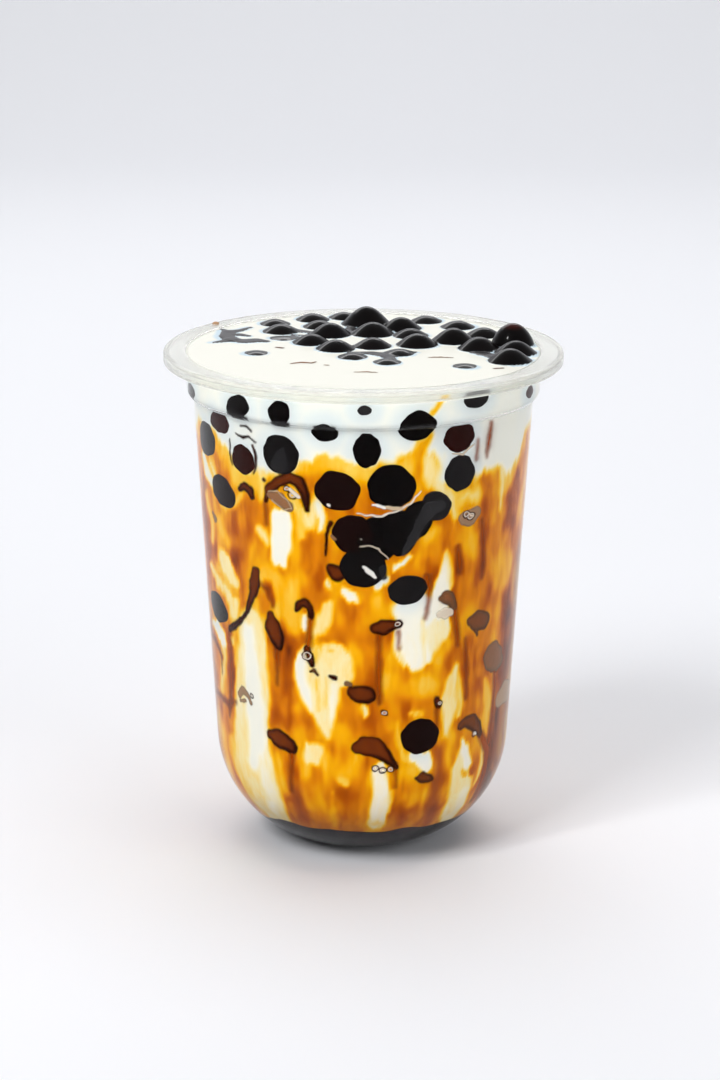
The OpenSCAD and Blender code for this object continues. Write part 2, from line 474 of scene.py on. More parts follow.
# Strokes over them, of the same kind.
STROKES = [
    (0.68, 5, [(-33, 58, 2.2), (-32, 48, 2.8), (-33, 37, 2.4)]),
    (0.70, 3, [(-58, 57, 0.8), (-58.4, 48, 1.5), (-60.4, 40, 1.4)]),
    (0.67, 4, [(5.4, 60, 1.0), (5, 50, 1.8), (4, 40, 2.2), (2, 34, 2.0)]),
    # top left
    (0.42, 2.5, [(-60, 103, 1.5), (-55, 99.5, 2.5), (-48, 95.5, 1.5), (-40, 95.5, 1.6)]),
    (0.58, 3, [(-61, 98, 1.2), (-56, 98, 1.8), (-53, 95, 1)]),
    (0.26, 2.5, [(-36, 98, 1.2), (-36.5, 95, 1), (-37, 92, 0.8)]),
    (0.41, 2.2, [(-20, 100.5, 1.2), (-14, 102, 1.4), (-8, 102.5, 1.2), (2, 99.5, 1.6)]),
    (0.40, 3, [(-37, 76, 2.5), (-33, 71, 3.6), (-29, 66, 3.4), (-25, 62, 2.5)]),
    (0.45, 3, [(-36, 90, 1.6), (-36, 84, 1.8), (-37, 78, 1.6)]),
    (0.53, 3, [(-19, 82, 2), (-18, 76, 3), (-19, 71, 2)]),
    (0.64, 4, [(-17, 75, 1.4), (-15.5, 73, 1)]),
    (0.62, 4, [(-46, 91, 2), (-45.5, 85, 2.6), (-46.5, 79, 2.6), (-49, 74, 1.8)]),
    (0.70, 4, [(-48, 82, 1.2), (-45, 80.5, 1.2), (-48, 77, 1)]),
    (0.46, 3, [(-55, 86, 2), (-60, 82, 2.4), (-56, 79, 1.6)]),
    (0.58, 3, [(-75, 80, 2), (-66, 78, 1.6), (-58, 78.5, 1)]),
    (0.68, 3, [(-78, 86, 2.5), (-75, 80, 2.5), (-78, 66, 3)]),
    (0.30, 2.5, [(-71, 87, 1), (-67.5, 82, 1), (-68, 77, 0.8)]),
    (0.07, 2, [(-72, 97, 1.4), (-69, 94, 2.4), (-65, 92, 1.2)]),
    (0.16, 2.5, [(-64, 96.5, 0.9), (-62, 93.5, 0.8)]),
    (0.30, 2.5, [(-59, 87.5, 0.8), (-53, 88, 0.9), (-47.5, 91.3, 0.8)]),
    (0.22, 1.8, [(-60, 74.2, 2.4), (-57, 71.5, 3.0), (-53.5, 68.5, 2.0)]),
    (0.24, 1.8, [(-72, 70.5, 1.0), (-66, 67.5, 1.6), (-59, 66, 1.6), (-54.5, 63.5, 2.2), (-55, 60.5, 1.8)]),
    (0.44, 1.6, [(-65, 71, 0.7), (-58, 69, 0.7), (-52, 66.3, 0.8)]),
    (0.04, 1.5, [(-29.2, 87.5, 2.8), (-29.4, 82, 2.8), (-30.3, 77.5, 2.0)]),
    (0.24, 1.8, [(-23.5, 92, 0.9), (-19.5, 87.5, 1.5), (-16.5, 92, 1.2), (-15, 95, 0.6)]),
    (0.34, 1.5, [(-23.5, 95, 0.8), (-22, 90, 0.8), (-21, 84, 0.8)]),
    (0.12, 1.4, [(-15.5, 92, 0.9), (-14, 88.5, 1.0), (-14.5, 86, 0.7)]),
    (0.20, 2, [(-38, 83.5, 1.3), (-36.5, 82, 1.2)]),
    (0.24, 1.6, [(-12.5, 67.5, 1.3), (-13.5, 64, 2.0), (-15.5, 61, 1.3)]),
    (0.08, 1.2, [(-6, 71.5, 1.0), (-3.5, 70, 1.4), (-1.5, 69, 0.9)]),
    (0.14, 1, [(-12.6, 73, 0.6), (-12, 71.5, 0.6)]),
    (0.48, 2, [(-42, 66, 1.2), (-40, 62, 1.6)]),
    (0.30, 1.5, [(-44.5, 65, 0.5), (-44, 60, 0.8)]),
    (0.68, 3, [(-36, 70.5, 1.0), (-33.5, 67.5, 0.7)]),
    (0.08, 1, [(-21.3, 64.5, 0.75), (-21.3, 62, 0.8)]),
    # top right
    (0.48, 1.6, [(26, 117.5, 0.6), (22, 114, 0.8)]),
    (0.50, 2.2, [(23, 108, 0.8), (19.5, 106.5, 1.5), (17.5, 103.5, 1.8), (12, 103, 0.8)]),
    (0.50, 2, [(18.5, 102, 1.4), (19, 98, 1.2), (19.8, 94.8, 0.8)]),
    (0.24, 2.6, [(22.5, 103, 1.2), (23.5, 98.5, 2.0), (27, 95, 1.8), (31.5, 93, 1.2), (34, 88, 0.9)]),
    (0.10, 2, [(27.5, 103, 0.8), (27.5, 98, 1.0)]),
    (0.38, 3, [(40, 96, 1.2), (43, 94, 1.6), (45, 91, 1)]),
    (0.28, 2.5, [(36, 92.5, 1.2), (42, 92, 1.2), (46, 93, 1)]),
    (0.62, 3.5, [(48, 96, 1.6), (48, 90, 2.2), (46, 84, 2.4), (48, 76, 2.2), (46, 71, 2)]),
    (0.46, 3, [(52.5, 97, 1.2), (52.5, 90, 1.0), (52, 85, 1.0)]),
    (0.24, 1.8, [(55.6, 96, 0.9), (55.8, 91, 1.1), (56, 86.5, 0.6)]),
    (0.74, 4, [(68, 94, 1.2), (63, 89, 2.2), (62, 84, 2.6), (66, 82, 2.2)]),
    (0.48, 4, [(78, 90, 2), (74, 84, 2), (78, 78, 2.4)]),
    (0.46, 4, [(60, 79, 1.8), (57, 74, 3), (59, 68, 2.6)]),
    (0.46, 3, [(42.5, 82, 1.4), (42, 78, 1)]),
    (0.78, 2.2, [(35, 80, 0.8), (35.8, 77, 1.3), (36.2, 74.5, 0.9)]),
    (0.72, 3, [(48, 76, 0.8), (47, 72.5, 1.0)]),
    (0.53, 2.5, [(29, 86, 1), (26, 83, 2.2), (22, 79, 2), (19.5, 76.5, 1)]),
    (0.42, 2, [(26, 85.5, 1.1), (22.5, 83, 1)]),
    (0.70, 2.5, [(23, 77.5, 1.2), (25, 75.3, 1.3), (25.5, 72, 0.8)]),
    (0.10, 1.4, [(30.6, 80, 0.3), (30.2, 76, 1.1), (29.6, 72, 2.0), (28.6, 67, 2.8), (28.4, 62, 3.2)]),
    (0.24, 1.8, [(31.5, 79, 0.4), (32.5, 74, 0.6), (33.5, 71, 0.5)]),
    (0.06, 1.2, [(11.5, 77.5, 0.9), (14.5, 78.2, 0.8), (17, 79.5, 0.4)]),
    (0.05, 1.2, [(5, 73.2, 1.4), (8, 74, 0.8)]),
    (0.44, 3, [(2, 66, 2), (5, 68, 2), (8, 66, 1.6)]),
    (0.52, 2.5, [(1, 71.5, 1.4), (0, 69, 1)]),
    (0.08, 1.6, [(18, 66, 5), (20, 62, 5.8), (20.5, 57, 5.4), (19.5, 53.5, 2.4)]),
    (0.20, 1.6, [(28, 60, 3.2), (27, 57, 2)]),
    (0.22, 1.2, [(22.8, 64, 0.5), (22.8, 52, 0.5)]),
    (0.18, 1.2, [(26.5, 63, 0.4), (26, 54, 0.4)]),
    (0.24, 1.2, [(13.5, 57, 0.4), (15, 53, 0.4)]),
    (0.56, 3, [(36, 70, 1.2), (38, 63, 2), (40, 58, 1.4)]),
    (0.44, 2.5, [(33, 57, 1.6), (29, 53.5, 1.5)]),
    # bottom left
    (0.05, 1.6, [(-76, 55.3, 0.7), (-70, 55, 1.6), (-65, 54, 2.2), (-63.5, 52, 1.6)]),
    (0.27, 2, [(-64, 50, 1.5), (-66, 45, 1.8), (-69, 40.5, 1.3)]),
    (0.66, 2, [(-58.4, 56, 0.5), (-58, 51, 0.9), (-58.8, 45, 1.5), (-60.5, 39.5, 1.6), (-63, 36, 1)]),
    (0.48, 2, [(-56, 56, 0.6), (-54, 53, 1.0), (-55.5, 49, 0.8)]),
    (0.26, 1, [(-56.8, 54.5, 0.8), (-56.6, 53.5, 0.7)]),
    (0.74, 1.8, [(-82, 52, 0.8), (-74, 51.3, 0.5), (-69, 50, 0.5), (-66.5, 48.6, 0.5)]),
    (0.66, 3, [(-80, 45, 2), (-76, 41, 2)]),
    (0.72, 2, [(-82, 37.5, 0.9), (-72, 37.6, 0.5), (-64, 37, 0.6)]),
    (0.46, 4, [(-78, 31, 2.5), (-70, 28, 2.5), (-72, 20, 3), (-66, 15, 2.5)]),
    (0.22, 2.4, [(-44.8, 60, 4.2), (-45, 53, 5.2), (-46.4, 45, 6.2), (-47.8, 38, 6.4), (-49, 31, 6.8),
                 (-48.5, 24, 8.4), (-46.5, 17, 8), (-44.5, 11, 5.8)]),
    (0.05, 2.8, [(-46.5, 58.5, 1.6), (-46, 50, 2.8), (-45.5, 43, 2.8), (-45, 36, 3.4), (-45, 29, 3.2),
                 (-47.5, 25, 2.2)]),
    (0.31, 3.5, [(-62, 28, 1.5), (-60, 21, 2), (-56, 15, 2)]),
    (0.13, 3, [(-42, 26, 1.8), (-41, 18, 2.2), (-42, 13, 2)]),
    (0.65, 3, [(-33.5, 57, 2), (-32.5, 50, 2.4), (-32, 44, 2.8), (-31.5, 38, 2.6)]),
    (0.72, 2, [(-28, 56, 0.6), (-29, 48, 0.8), (-29.5, 42, 1.2)]),
    (0.69, 3, [(-28, 31, 1), (-27.5, 24, 1.4), (-27.5, 18, 2.2), (-27.5, 13, 2)]),
    (0.42, 2, [(-35, 28.3, 1.3), (-34, 24, 1.2), (-32.5, 19, 0.8)]),
    (0.43, 3, [(-25.5, 41, 1), (-24, 36, 2), (-23.5, 30, 2.2), (-23, 25, 1.4)]),
    (0.43, 3, [(-8, 37, 2), (-6, 31, 3), (-8, 27, 3), (-13, 29, 2)]),
    (0.55, 3, [(-20, 20, 3), (-18, 15, 3)]),
    (0.60, 3, [(-5, 20, 3), (-6, 15, 3)]),
    (0.22, 1.5, [(-16, 53.5, 3.6), (-11, 54.5, 4.2), (-8, 53.5, 3.4), (-8, 51, 3.2)]),
    (0.22, 1.5, [(-19, 53, 4.2), (-16, 49, 5.6), (-15, 44.5, 4.4), (-13.8, 39.5, 2.6), (-13, 35, 0.9)]),
    (0.05, 1.8, [(-23.4, 53.2, 1.5), (-23.2, 49, 1.6), (-21.2, 44, 1.2), (-19.5, 41, 0.6)]),
    (0.12, 1.6, [(-10.8, 48, 0.9), (-10.6, 42, 1.0), (-11.6, 37.5, 0.5)]),
    (0.33, 1.4, [(-18.5, 54.5, 1.0), (-17, 56.5, 0.6)]),
    (0.33, 1.2, [(-17.4, 49, 0.3), (-16.5, 42, 0.4)]),
    (0.36, 1.2, [(-12.2, 56.6, 0.5), (-11.4, 56.4, 0.4)]),
    (0.31, 1.2, [(-13.6, 50, 0.3), (-13.8, 42, 0.3)]),
    (0.20, 1.8, [(-18.8, 30.8, 2.5), (-19.2, 29.8, 2.5)]),
    (0.32, 1.3, [(-8.6, 24.4, 0.8), (-6.6, 23.1, 1.0)]),
    (0.36, 1, [(-11.6, 20.6, 0.3), (-11.4, 20.2, 0.4)]),
    (0.47, 2, [(-11.8, 19, 0.6), (-12, 15.5, 0.9)]),
    # bottom right
    (0.43, 3, [(10, 48, 2), (17, 46.5, 2.6), (26, 47, 2)]),
    (0.46, 2.5, [(10, 55, 1), (10, 44, 1.6), (11, 38, 1.6)]),
    (0.60, 2.5, [(1.5, 28, 1.4), (1, 20, 1.2), (0, 15, 1)]),
    (0.22, 1.6, [(37.6, 50.6, 0.5), (36.2, 47.5, 2.0), (35.4, 43, 2.6), (34.4, 38, 1.8), (34, 34, 0.8)]),
    (0.24, 1.4, [(39.3, 47, 0.5), (39.6, 42, 0.7), (39, 38, 0.5)]),
    (0.36, 1.2, [(38.2, 49, 0.2), (38.2, 40, 0.25)]),
    (0.34, 1.6, [(13.8, 38.5, 0.5), (14, 33, 0.7), (17, 29, 0.8)]),
    (0.30, 1.4, [(18, 40.2, 0.4), (23, 41, 0.5)]),
    (0.05, 1.4, [(21, 29.8, 1.8), (24, 28.6, 2.0), (25.6, 26.6, 1.4)]),
    (0.12, 1.5, [(6.6, 27, 1.7), (7.2, 22, 2.1), (7.2, 17, 2.8), (7, 12.5, 2.6)]),
    (0.28, 1.6, [(12, 21.5, 0.4), (11.8, 16, 0.5)]),
    (0.26, 1.8, [(4, 12.5, 1), (9, 11.5, 1)]),
    (0.50, 2.5, [(17, 26, 1.6), (16, 20, 1.4)]),
    (0.48, 2, [(26.5, 20.5, 0.5), (26.5, 13, 0.7)]),
    (0.66, 3, [(31.5, 31, 1.2), (31, 23, 1.8), (30.5, 15, 2)]),
    (0.66, 3, [(43.5, 56, 2), (44.5, 50, 2.6), (45, 44, 2.6), (45.5, 39, 2)]),
    (0.48, 2, [(48.5, 52.5, 1.0), (48.5, 48, 1.0)]),
    (0.34, 2, [(53.5, 45, 1.0), (55.5, 40, 1.6), (56.5, 35, 1.1), (57, 31, 0.5)]),
    (0.20, 2, [(42, 28, 1.2), (42, 24, 3), (43.6, 19, 4.2), (45, 14, 4.6), (46, 11, 3.6)]),
    (0.05, 1.3, [(43, 31.4, 0.5), (44, 28.5, 1.5), (45.8, 25.2, 1.3), (47.6, 24.2, 0.4)]),
    (0.14, 2.5, [(47, 17, 1.4), (48, 13, 1.6)]),
    (0.55, 1.8, [(48.4, 31.5, 0.8), (50, 27.5, 1.1), (51.4, 23.5, 0.9)]),
    (0.24, 1.6, [(54.4, 28, 0.4), (55.2, 24.5, 1.0), (54, 20.5, 0.8), (53, 18.5, 0.4)]),
    (0.47, 1, [(43.4, 23.4, 0.6), (45.4, 22.6, 0.6)]),
    (0.56, 1.2, [(48.2, 22.4, 0.7), (48.8, 21.6, 0.7)]),
    (0.75, 4, [(66, 63, 2.5), (69, 55, 5), (67, 47, 4), (66, 42, 3)]),
    (0.82, 4, [(65, 34, 2.5), (63, 26, 3), (64, 17, 4), (72, 12, 4)]),
    (0.44, 3, [(66, 20.5, 0.8), (72, 17.5, 1.0), (79, 15.5, 1.0)]),
    (0.34, 3, [(79, 31, 1.4), (80, 26, 1.6)]),
    (0.20, 1.2, [(1, 42.5, 0.8), (1.2, 40.8, 0.7)]),
]

# Greyish brown over the colour, as strokes of the same kind: painted shade along the bottom and down both
# sides, deepest at the right, and greyer streaks over some lines and trails.
SHADE_AND_HAZE = [
    # painted shade along the bottom, down the left and, deepest, down the right
    (0.25, 8, [(-60, 11, 2.5), (60, 11, 2.5)]),
    (0.35, 6, [(-82, 60, 4), (-82, 10, 5)]),
    (0.62, 9, [(80, 72, 4), (78, 50, 5), (75, 33, 6), (70, 14, 6)]),
    # greyer streaks over lines and trails
    (0.60, 4, [(-80, 89.5, 1.2), (-72, 89.3, 0.8)]),
    (0.45, 3, [(-80, 51.5, 1), (-67, 49.5, 0.6)]),
    (0.35, 3, [(-80, 37, 1), (-66, 36.8, 0.8)]),
    (0.35, 4, [(47.5, 108, 0.8), (46.5, 104, 1.2)]),
    (0.30, 3, [(41.5, 105, 0.6), (41.5, 101, 0.8)]),
    (0.30, 4, [(62, 40, 1.5), (61.5, 30, 1.5)]),
    (0.25, 4, [(31, 30, 1), (30.5, 14, 2)]),
    (0.18, 4, [(-28, 20, 2), (-27, 13, 2)]),
]

# Pearls pressed against the wall: degrees from the front, height, width, height of the pearl in millimetres,
# then how grey and how red it looks, and its tilt in degrees.
WALL_PEARLS = [
    (-76, 112.4, 8.0, 3.6, 0.3, 0.0, 0),
    (-44, 113.2, 7.4, 5.6, 0.0, 0.0, 20),
    (-27.5, 113.4, 5.6, 6.2, 0.0, 0.0, 0),
    (-12.6, 110.0, 6.6, 5.6, 0.0, 0.0, 0),
    (0.4, 115.2, 3.4, 2.4, 0.3, 0.0, 0),
    (-56.5, 107.8, 8.2, 5.4, 0.0, 0.15, 0),
    (-67.5, 102.2, 9.8, 8.6, 0.22, 0.0, 10),
    (-44.6, 100.4, 7.4, 7.3, 0.0, 0.12, 0),
    (-28.7, 103.4, 9.3, 9.4, 0.05, 0.0, 0),
    (1.2, 105.6, 6.4, 8.4, 0.0, 0.0, 0),
    (-8.6, 95.8, 10.0, 9.6, 0.0, 0.03, 0),
    (-57.2, 91.0, 10.0, 7.4, 0.10, 0.03, -12),
    (17.6, 111.3, 8.4, 7.2, 0.0, 0.0, 5),
    (38.6, 116.0, 7.4, 4.6, 0.15, 0.0, 0),
    (33.6, 107.0, 8.6, 6.8, 0.0, 0.10, 0),
    (34.6, 98.6, 8.2, 8.8, 0.14, 0.0, 15),
    (9.6, 96.8, 11.6, 10.8, 0.0, 0.0, -10),
    (-3.4, 85.4, 9.6, 9.4, 0.0, 0.03, 15),
    (5.5, 84.6, 9.8, 11.4, 0.0, 0.0, 0),
    (12.8, 85.8, 9.0, 11.6, 0.02, 0.0, 0),
    (18.6, 88.4, 7.6, 9.6, 0.02, 0.0, -30),
    (25.4, 91.2, 8.4, 7.4, 0.2, 0.0, -25),
    (0.2, 77.6, 10.6, 10.2, 0.04, 0.0, 0),
    (15.9, 71.5, 9.4, 7.2, 0.12, 0.0, 5),
    (-67.6, 60.8, 10.4, 7.4, 0.12, 0.0, -8),
    (22.6, 34.8, 9.7, 9.0, 0.0, 0.03, -8),
    (68.5, 113.6, 4.8, 3.0, 0.1, 0.2, 0),
]

# Drips of thick syrup on the wall: how pale they are, then points as degrees, height and half-width in
# millimetres.
DRIPS = [
    (0.0, [(-35, 91.5, 0.5), (-33.8, 94.4, 1.1), (-29.5, 96.6, 1.3), (-25.5, 98, 1.4), (-22, 97.2, 1.5),
           (-20, 94.5, 1.1), (-19.2, 90.6, 0.6)]),
    (0.0, [(-47, 93, 0.7), (-44.5, 93.9, 1.0), (-42, 93.2, 1.2), (-41, 91.8, 0.8)]),
    (0.0, [(-41, 73.6, 1.2), (-42, 70.5, 1.7), (-43, 67.8, 1.3), (-45, 65.3, 0.9), (-46.4, 63, 0.7),
           (-49, 61, 0.7), (-52, 59.3, 0.8), (-55, 58, 0.9), (-58, 56.8, 0.8)]),
    (0.0, [(-35, 63.6, 1.0), (-34.4, 60.8, 2.4), (-32.8, 58.2, 2.2), (-32, 56.2, 1.2)]),
    (0.0, [(-24.2, 65.8, 0.6), (-23, 67.4, 1.0), (-21, 68, 1.0), (-19, 66.8, 0.8), (-18.6, 64.5, 0.6)]),
    (0.0, [(-4, 46.6, 1.2), (-1.4, 46, 2.2), (1.4, 45.8, 2.2), (3.4, 45.4, 1.2)]),
    (0.0, [(-37.4, 33.4, 1.3), (-34.4, 33, 2.3), (-31, 32.2, 2.3), (-28, 31.2, 1.7)]),
    (0.0, [(-1.8, 32.6, 1.6), (1.4, 33, 2.5), (4.6, 32.8, 2.5), (8, 31, 1.9), (11, 29, 1.1),
           (13.2, 27.4, 0.7)]),
    (0.0, [(4.6, 62.4, 1.4), (7.2, 62.5, 2.0), (10, 62.9, 1.5), (13, 63.2, 1.0)]),
    (0.15, [(29.2, 68.4, 0.9), (31.2, 68.4, 1.8), (33.2, 67.6, 1.4), (34.6, 65.6, 0.9)]),
    (0.35, [(37, 87.2, 1.5), (39.6, 87, 2.1), (42.6, 87.9, 1.5)]),
    (0.12, [(42.8, 61.2, 1.2), (46.4, 60.8, 2.6), (50, 60.4, 2.3), (52.2, 60.2, 1.0)]),
    (0.12, [(46, 58.6, 0.8), (46.6, 57.4, 0.5)]),
    (0.22, [(54.6, 50.6, 2.2), (57.6, 50.2, 3.8), (61, 49, 3.2), (64, 48.2, 1.8)]),
    (0.0, [(29, 43.2, 0.9), (29.8, 41.8, 1.0)]),
    (0.05, [(21.4, 24, 0.5), (24, 24, 1.5), (26.6, 23.6, 1.2), (28.6, 23.2, 0.4)]),
    (0.08, [(40.6, 35.2, 1.0), (43.6, 36, 1.4), (47, 35.4, 2.0), (50, 33.6, 1.8), (52.4, 31.4, 1.0)]),
    (0.42, [(66, 38, 2.2), (71, 38.8, 3.0), (77, 38, 2.6)]),
    (0.0, [(-11, 76.8, 1.3), (-9, 75.6, 2.0)]),
    (0.0, [(-11, 88, 0.5), (-12.4, 85, 0.4), (-13, 80, 0.3)]),
    (0.1, [(-35.6, 96.6, 0.35), (-35.2, 96.4, 0.35)]),
    (0.0, [(-47.4, 106.2, 0.2), (-44, 105.7, 0.35), (-41, 106.1, 0.25), (-38.4, 105.2, 0.15)]),
    (0.0, [(-39.8, 104.2, 0.3), (-38.4, 102, 0.4), (-39, 99, 0.3), (-40, 97.4, 0.15)]),
    (0.0, [(-50.8, 104.4, 0.15), (-51.2, 101, 0.3), (-50.4, 98.4, 0.15)]),
    (0.0, [(-45, 108.2, 0.15), (-42, 108.6, 0.3), (-40, 107.6, 0.2)]),
    (0.1, [(-19.4, 51, 0.3), (-18, 51.4, 0.5), (-16.6, 50.4, 0.4)]),
    (0.0, [(-12, 50.2, 0.4), (-10, 49.8, 0.6)]),
    (0.2, [(-6, 48.6, 0.6), (-4.6, 48.4, 0.7)]),
    (0.3, [(-66, 84.2, 0.5), (-64, 83, 0.8)]),
    (0.0, [(-20.6, 56.6, 0.9), (-19.2, 54, 1.0), (-18.6, 52.6, 0.6)]),
    (0.34, [(-54, 41, 0.8), (-51.6, 42.6, 1.0), (-49, 41.6, 0.7), (-47, 40, 0.5)]),
    (0.34, [(-53.6, 39.6, 0.4), (-50.6, 40, 0.5)]),
]

# Soft dark trails that run down from the drips, as points of the same kind.
TAILS = [
    [(-35.2, 91.5, 0.4), (-35, 86, 0.3)],
    [(-33, 57, 0.9), (-33, 52, 0.6), (-33.4, 46.6, 0.4)],
    [(-18.8, 65, 0.6), (-19.4, 61, 0.7), (-20, 57, 0.8)],
    [(-27.6, 30.6, 0.8), (-28.6, 26, 0.6), (-29.2, 20, 0.5)],
    [(13, 28, 0.5), (13.3, 22.4, 0.3)],
    [(6, 60.6, 0.7), (5.8, 56, 0.6), (6, 51, 0.8), (6.4, 44, 0.6)],
    [(13, 61.4, 0.35), (13.2, 57, 0.25)],
    [(34.8, 65.6, 0.8), (35.4, 63, 0.7), (36.4, 60, 0.9), (37.2, 56, 0.5)],
    [(23, 74, 0.9), (24, 71.6, 0.7), (24, 68, 0.5), (23, 64, 0.3)],
    [(51.6, 32.4, 1.1), (54.6, 29.6, 1.3), (58, 26.6, 1.4), (59, 20, 1.4), (57.6, 13.4, 1.0)],
    [(59.6, 46.6, 0.8), (60.6, 41, 0.7), (60.2, 34, 0.8), (59.2, 28, 1.0)],
    [(29.4, 41.6, 0.6), (29.2, 36, 0.3)],
    [(-58.6, 57, 0.5), (-58, 51, 0.5), (-59.4, 44, 0.8), (-61, 38.6, 0.8), (-63, 34, 0.4)],
    [(-82, 51.8, 0.7), (-75, 51.6, 0.6), (-69.6, 50.2, 0.6), (-66.8, 48.4, 0.5), (-67.6, 44, 0.2)],
    [(-82, 37.6, 0.8), (-72, 37.8, 0.5), (-64, 37.2, 0.7), (-57, 38.6, 0.5)],
    [(41.5, 105.5, 0.3), (41.2, 101, 0.3)],
    [(47.4, 109, 0.5), (46.6, 104, 0.7), (46, 101, 0.3)],
    [(40.6, 57, 0.3), (42, 50, 0.5), (42.6, 42, 0.4)],
    [(-40, 71, 0.3), (-36, 69.6, 0.6), (-34, 66, 0.5)],
    [(45.6, 85.6, 0.6), (46.6, 81, 0.7), (47.8, 76, 0.6), (47.4, 71.6, 0.5)],
    [(35, 80.4, 0.5), (36, 77, 0.9), (36.4, 74, 0.5)],
]

# Pale foam patches caught in the drips: how pale, then points as above.
FOAM = [
    (0.25, [(-33.2, 93.1, 0.9), (-29.4, 92.4, 1.6), (-26, 90.8, 1.2)]),
    (0.75, [(28.6, 64.6, 0.8), (30.9, 64.6, 1.4), (33.3, 64.5, 0.8)]),
]

# Greyer faces where pearls press flat on the wall, and painted reflections of the light along the step and
# collar across the pearls: how grey, then points as above.
FACES_AND_REFLECTIONS = [
    (0.06, [(-27.4, 105, 0.3), (-28.4, 102.6, 1.6), (-29, 101, 2.4)]),
    # The thin level lines from 110.9 to 117.4 mm are painted reflections of the light along the step and
    # collar
    (0.12, [(-15.4, 110.9, 0.4), (-9.4, 110.9, 0.4)]),
    (0.12, [(13, 110.9, 0.4), (22.6, 110.9, 0.4)]),
    (0.09, [(14, 80.4, 0.5), (17, 83.4, 1.2), (20, 87.6, 1.5), (23, 90.6, 2.0), (27, 91, 1.6)]),
    (0.06, [(6.6, 77, 1.0), (7.4, 74.8, 0.7)]),
    (0.12, [(34, 117.4, 0.5), (43, 117.4, 0.5)]),
    (0.08, [(-48, 111.4, 0.5), (-40, 111, 0.4)]),
    (0.10, [(-30, 111, 0.4), (-24.6, 111, 0.5)]),
]

# Thin marks of milk, foam and light syrup over the pearls, and painted glints on the pearls and on a drip: how
# pale, then points as above.
MARKS_AND_GLINTS = [
    (0.80, [(-2, 90.4, 0.15), (2, 89.9, 0.2), (6, 89.7, 0.25), (12, 90.9, 0.2), (16, 92.4, 0.3),
            (19.6, 95.2, 0.15)]),
    (0.95, [(3.4, 92.4, 0.25), (5.4, 92.3, 0.4), (7.4, 91.6, 0.3)]),
    (0.60, [(8, 91.7, 0.45), (11, 91.5, 0.5), (13.4, 91.2, 0.3)]),
    (0.95, [(0.2, 77.4, 0.3), (1.6, 76.6, 0.5), (3, 75.8, 0.6), (4.4, 74.8, 0.3)]),
    (0.70, [(-1, 82.4, 0.1), (2, 82.6, 0.15), (5, 82, 0.15), (8.6, 79.4, 0.12)]),
    # a painted white glint on a pearl
    (0.90, [(-12, 92.3, 0.3), (-11.4, 92.0, 0.3)]),
    (0.65, [(30.6, 103.4, 0.12), (35, 102.9, 0.2), (38.4, 104.4, 0.25), (39.6, 104.8, 0.1)]),
    # a painted reddish glint on a pearl
    (0.25, [(-10.6, 85, 0.3), (-9.6, 84, 0.5)]),
    (0.55, [(-33.6, 93.9, 0.12), (-30, 94.4, 0.15), (-26.4, 92.4, 0.15), (-24.8, 90.4, 0.12),
            (-28, 90.2, 0.12), (-32.6, 92, 0.15)]),
    (0.80, [(-22.2, 93.4, 0.5), (-25, 95.2, 0.5)]),
    (0.70, [(38.6, 88.4, 0.2), (39.8, 87.6, 0.3), (41, 87.2, 0.2)]),
    # painted highlight dots on a drip
    (0.92, [(48.4, 32.3, 0.2), (49.4, 32.1, 0.25)]),
    (0.80, [(-0.8, 84.3, 0.1), (-0.5, 84.2, 0.1)]),
]

# Dark films of syrup on the surface: points as right, behind and half-width in millimetres, then the
# film's height.
FILMS = [
    ([(-31.5, 10, 2.1), (-33, 14, 1.9), (-32.6, 19, 1.9), (-30, 21, 1.1), (-27.6, 24.6, 0.5)], 0.32),
    ([(-32.6, 19, 1.4), (-35, 23, 0.4)], 0.3),
    ([(-31.5, 10, 1.8), (-35.6, 7.2, 0.6)], 0.3),
    ([(-32, 10, 1.8), (-28.5, 8.5, 2.1), (-26, 9.4, 2.2), (-23.6, 8.6, 1.2)], 0.32),
    ([(-30, 16, 1.4), (-27.8, 14.6, 0.8)], 0.3),
    ([(-20.6, 12.4, 1.9), (-17.4, 12.8, 2.1), (-14, 12.4, 1.1)], 0.32),
    ([(-17, 16, 0.7), (-12, 15, 0.6)], 0.24),
    ([(-3, 3, 1.2), (1, 1.5, 1.4), (4, 3.5, 1.2)], 0.34),
    ([(-3, -4, 1.0), (2, -4.4, 1.6), (5.6, -6.8, 2.0), (6.4, -11, 1.2)], 0.34),
    ([(12.4, -3, 0.4), (9, -4, 1.4)], 0.3),
    ([(-2, 17, 1.0), (-3.5, 22, 1.4), (-2, 27, 1.4)], 0.34),
    ([(-16, 21, 1.2), (-13, 19, 1.2)], 0.34),
    ([(9, 21, 1.0), (12, 17, 1.0)], 0.3),
    ([(16, 9, 1.0), (19, 8.6, 1.2)], 0.34),
    ([(26, 6, 1.4), (27, -3, 1.8), (31, -8, 1.8)], 0.34),
]

# Flecks of syrup that float on the milk: how pale, then points as right, behind and half-width in
# millimetres.
FLECKS = [
    (0.20, [(-16.8, -15.4, 0.3), (-14.6, -14.2, 0.5), (-12.2, -14.8, 0.4), (-11, -13.6, 0.2)]),
    (0.05, [(-20.8, 2.2, 0.3), (-19.2, 1.6, 0.5)]),
    (0.25, [(-2, -24.4, 0.2), (0.8, -24, 0.4), (3, -24.6, 0.2)]),
    (0.20, [(15.4, -8.4, 0.25), (18, -8, 0.45), (21, -8.8, 0.25)]),
    (0.05, [(30.4, -20.2, 0.3), (32.2, -19.6, 0.4)]),
    (0.30, [(-9, -17, 0.2), (-8.4, -17.2, 0.3)]),
]

# A drop of syrup on the rim: right, behind, height and radius in millimetres.
RIM_DROP = (-36.2, 27.6, 120.45, 0.9)

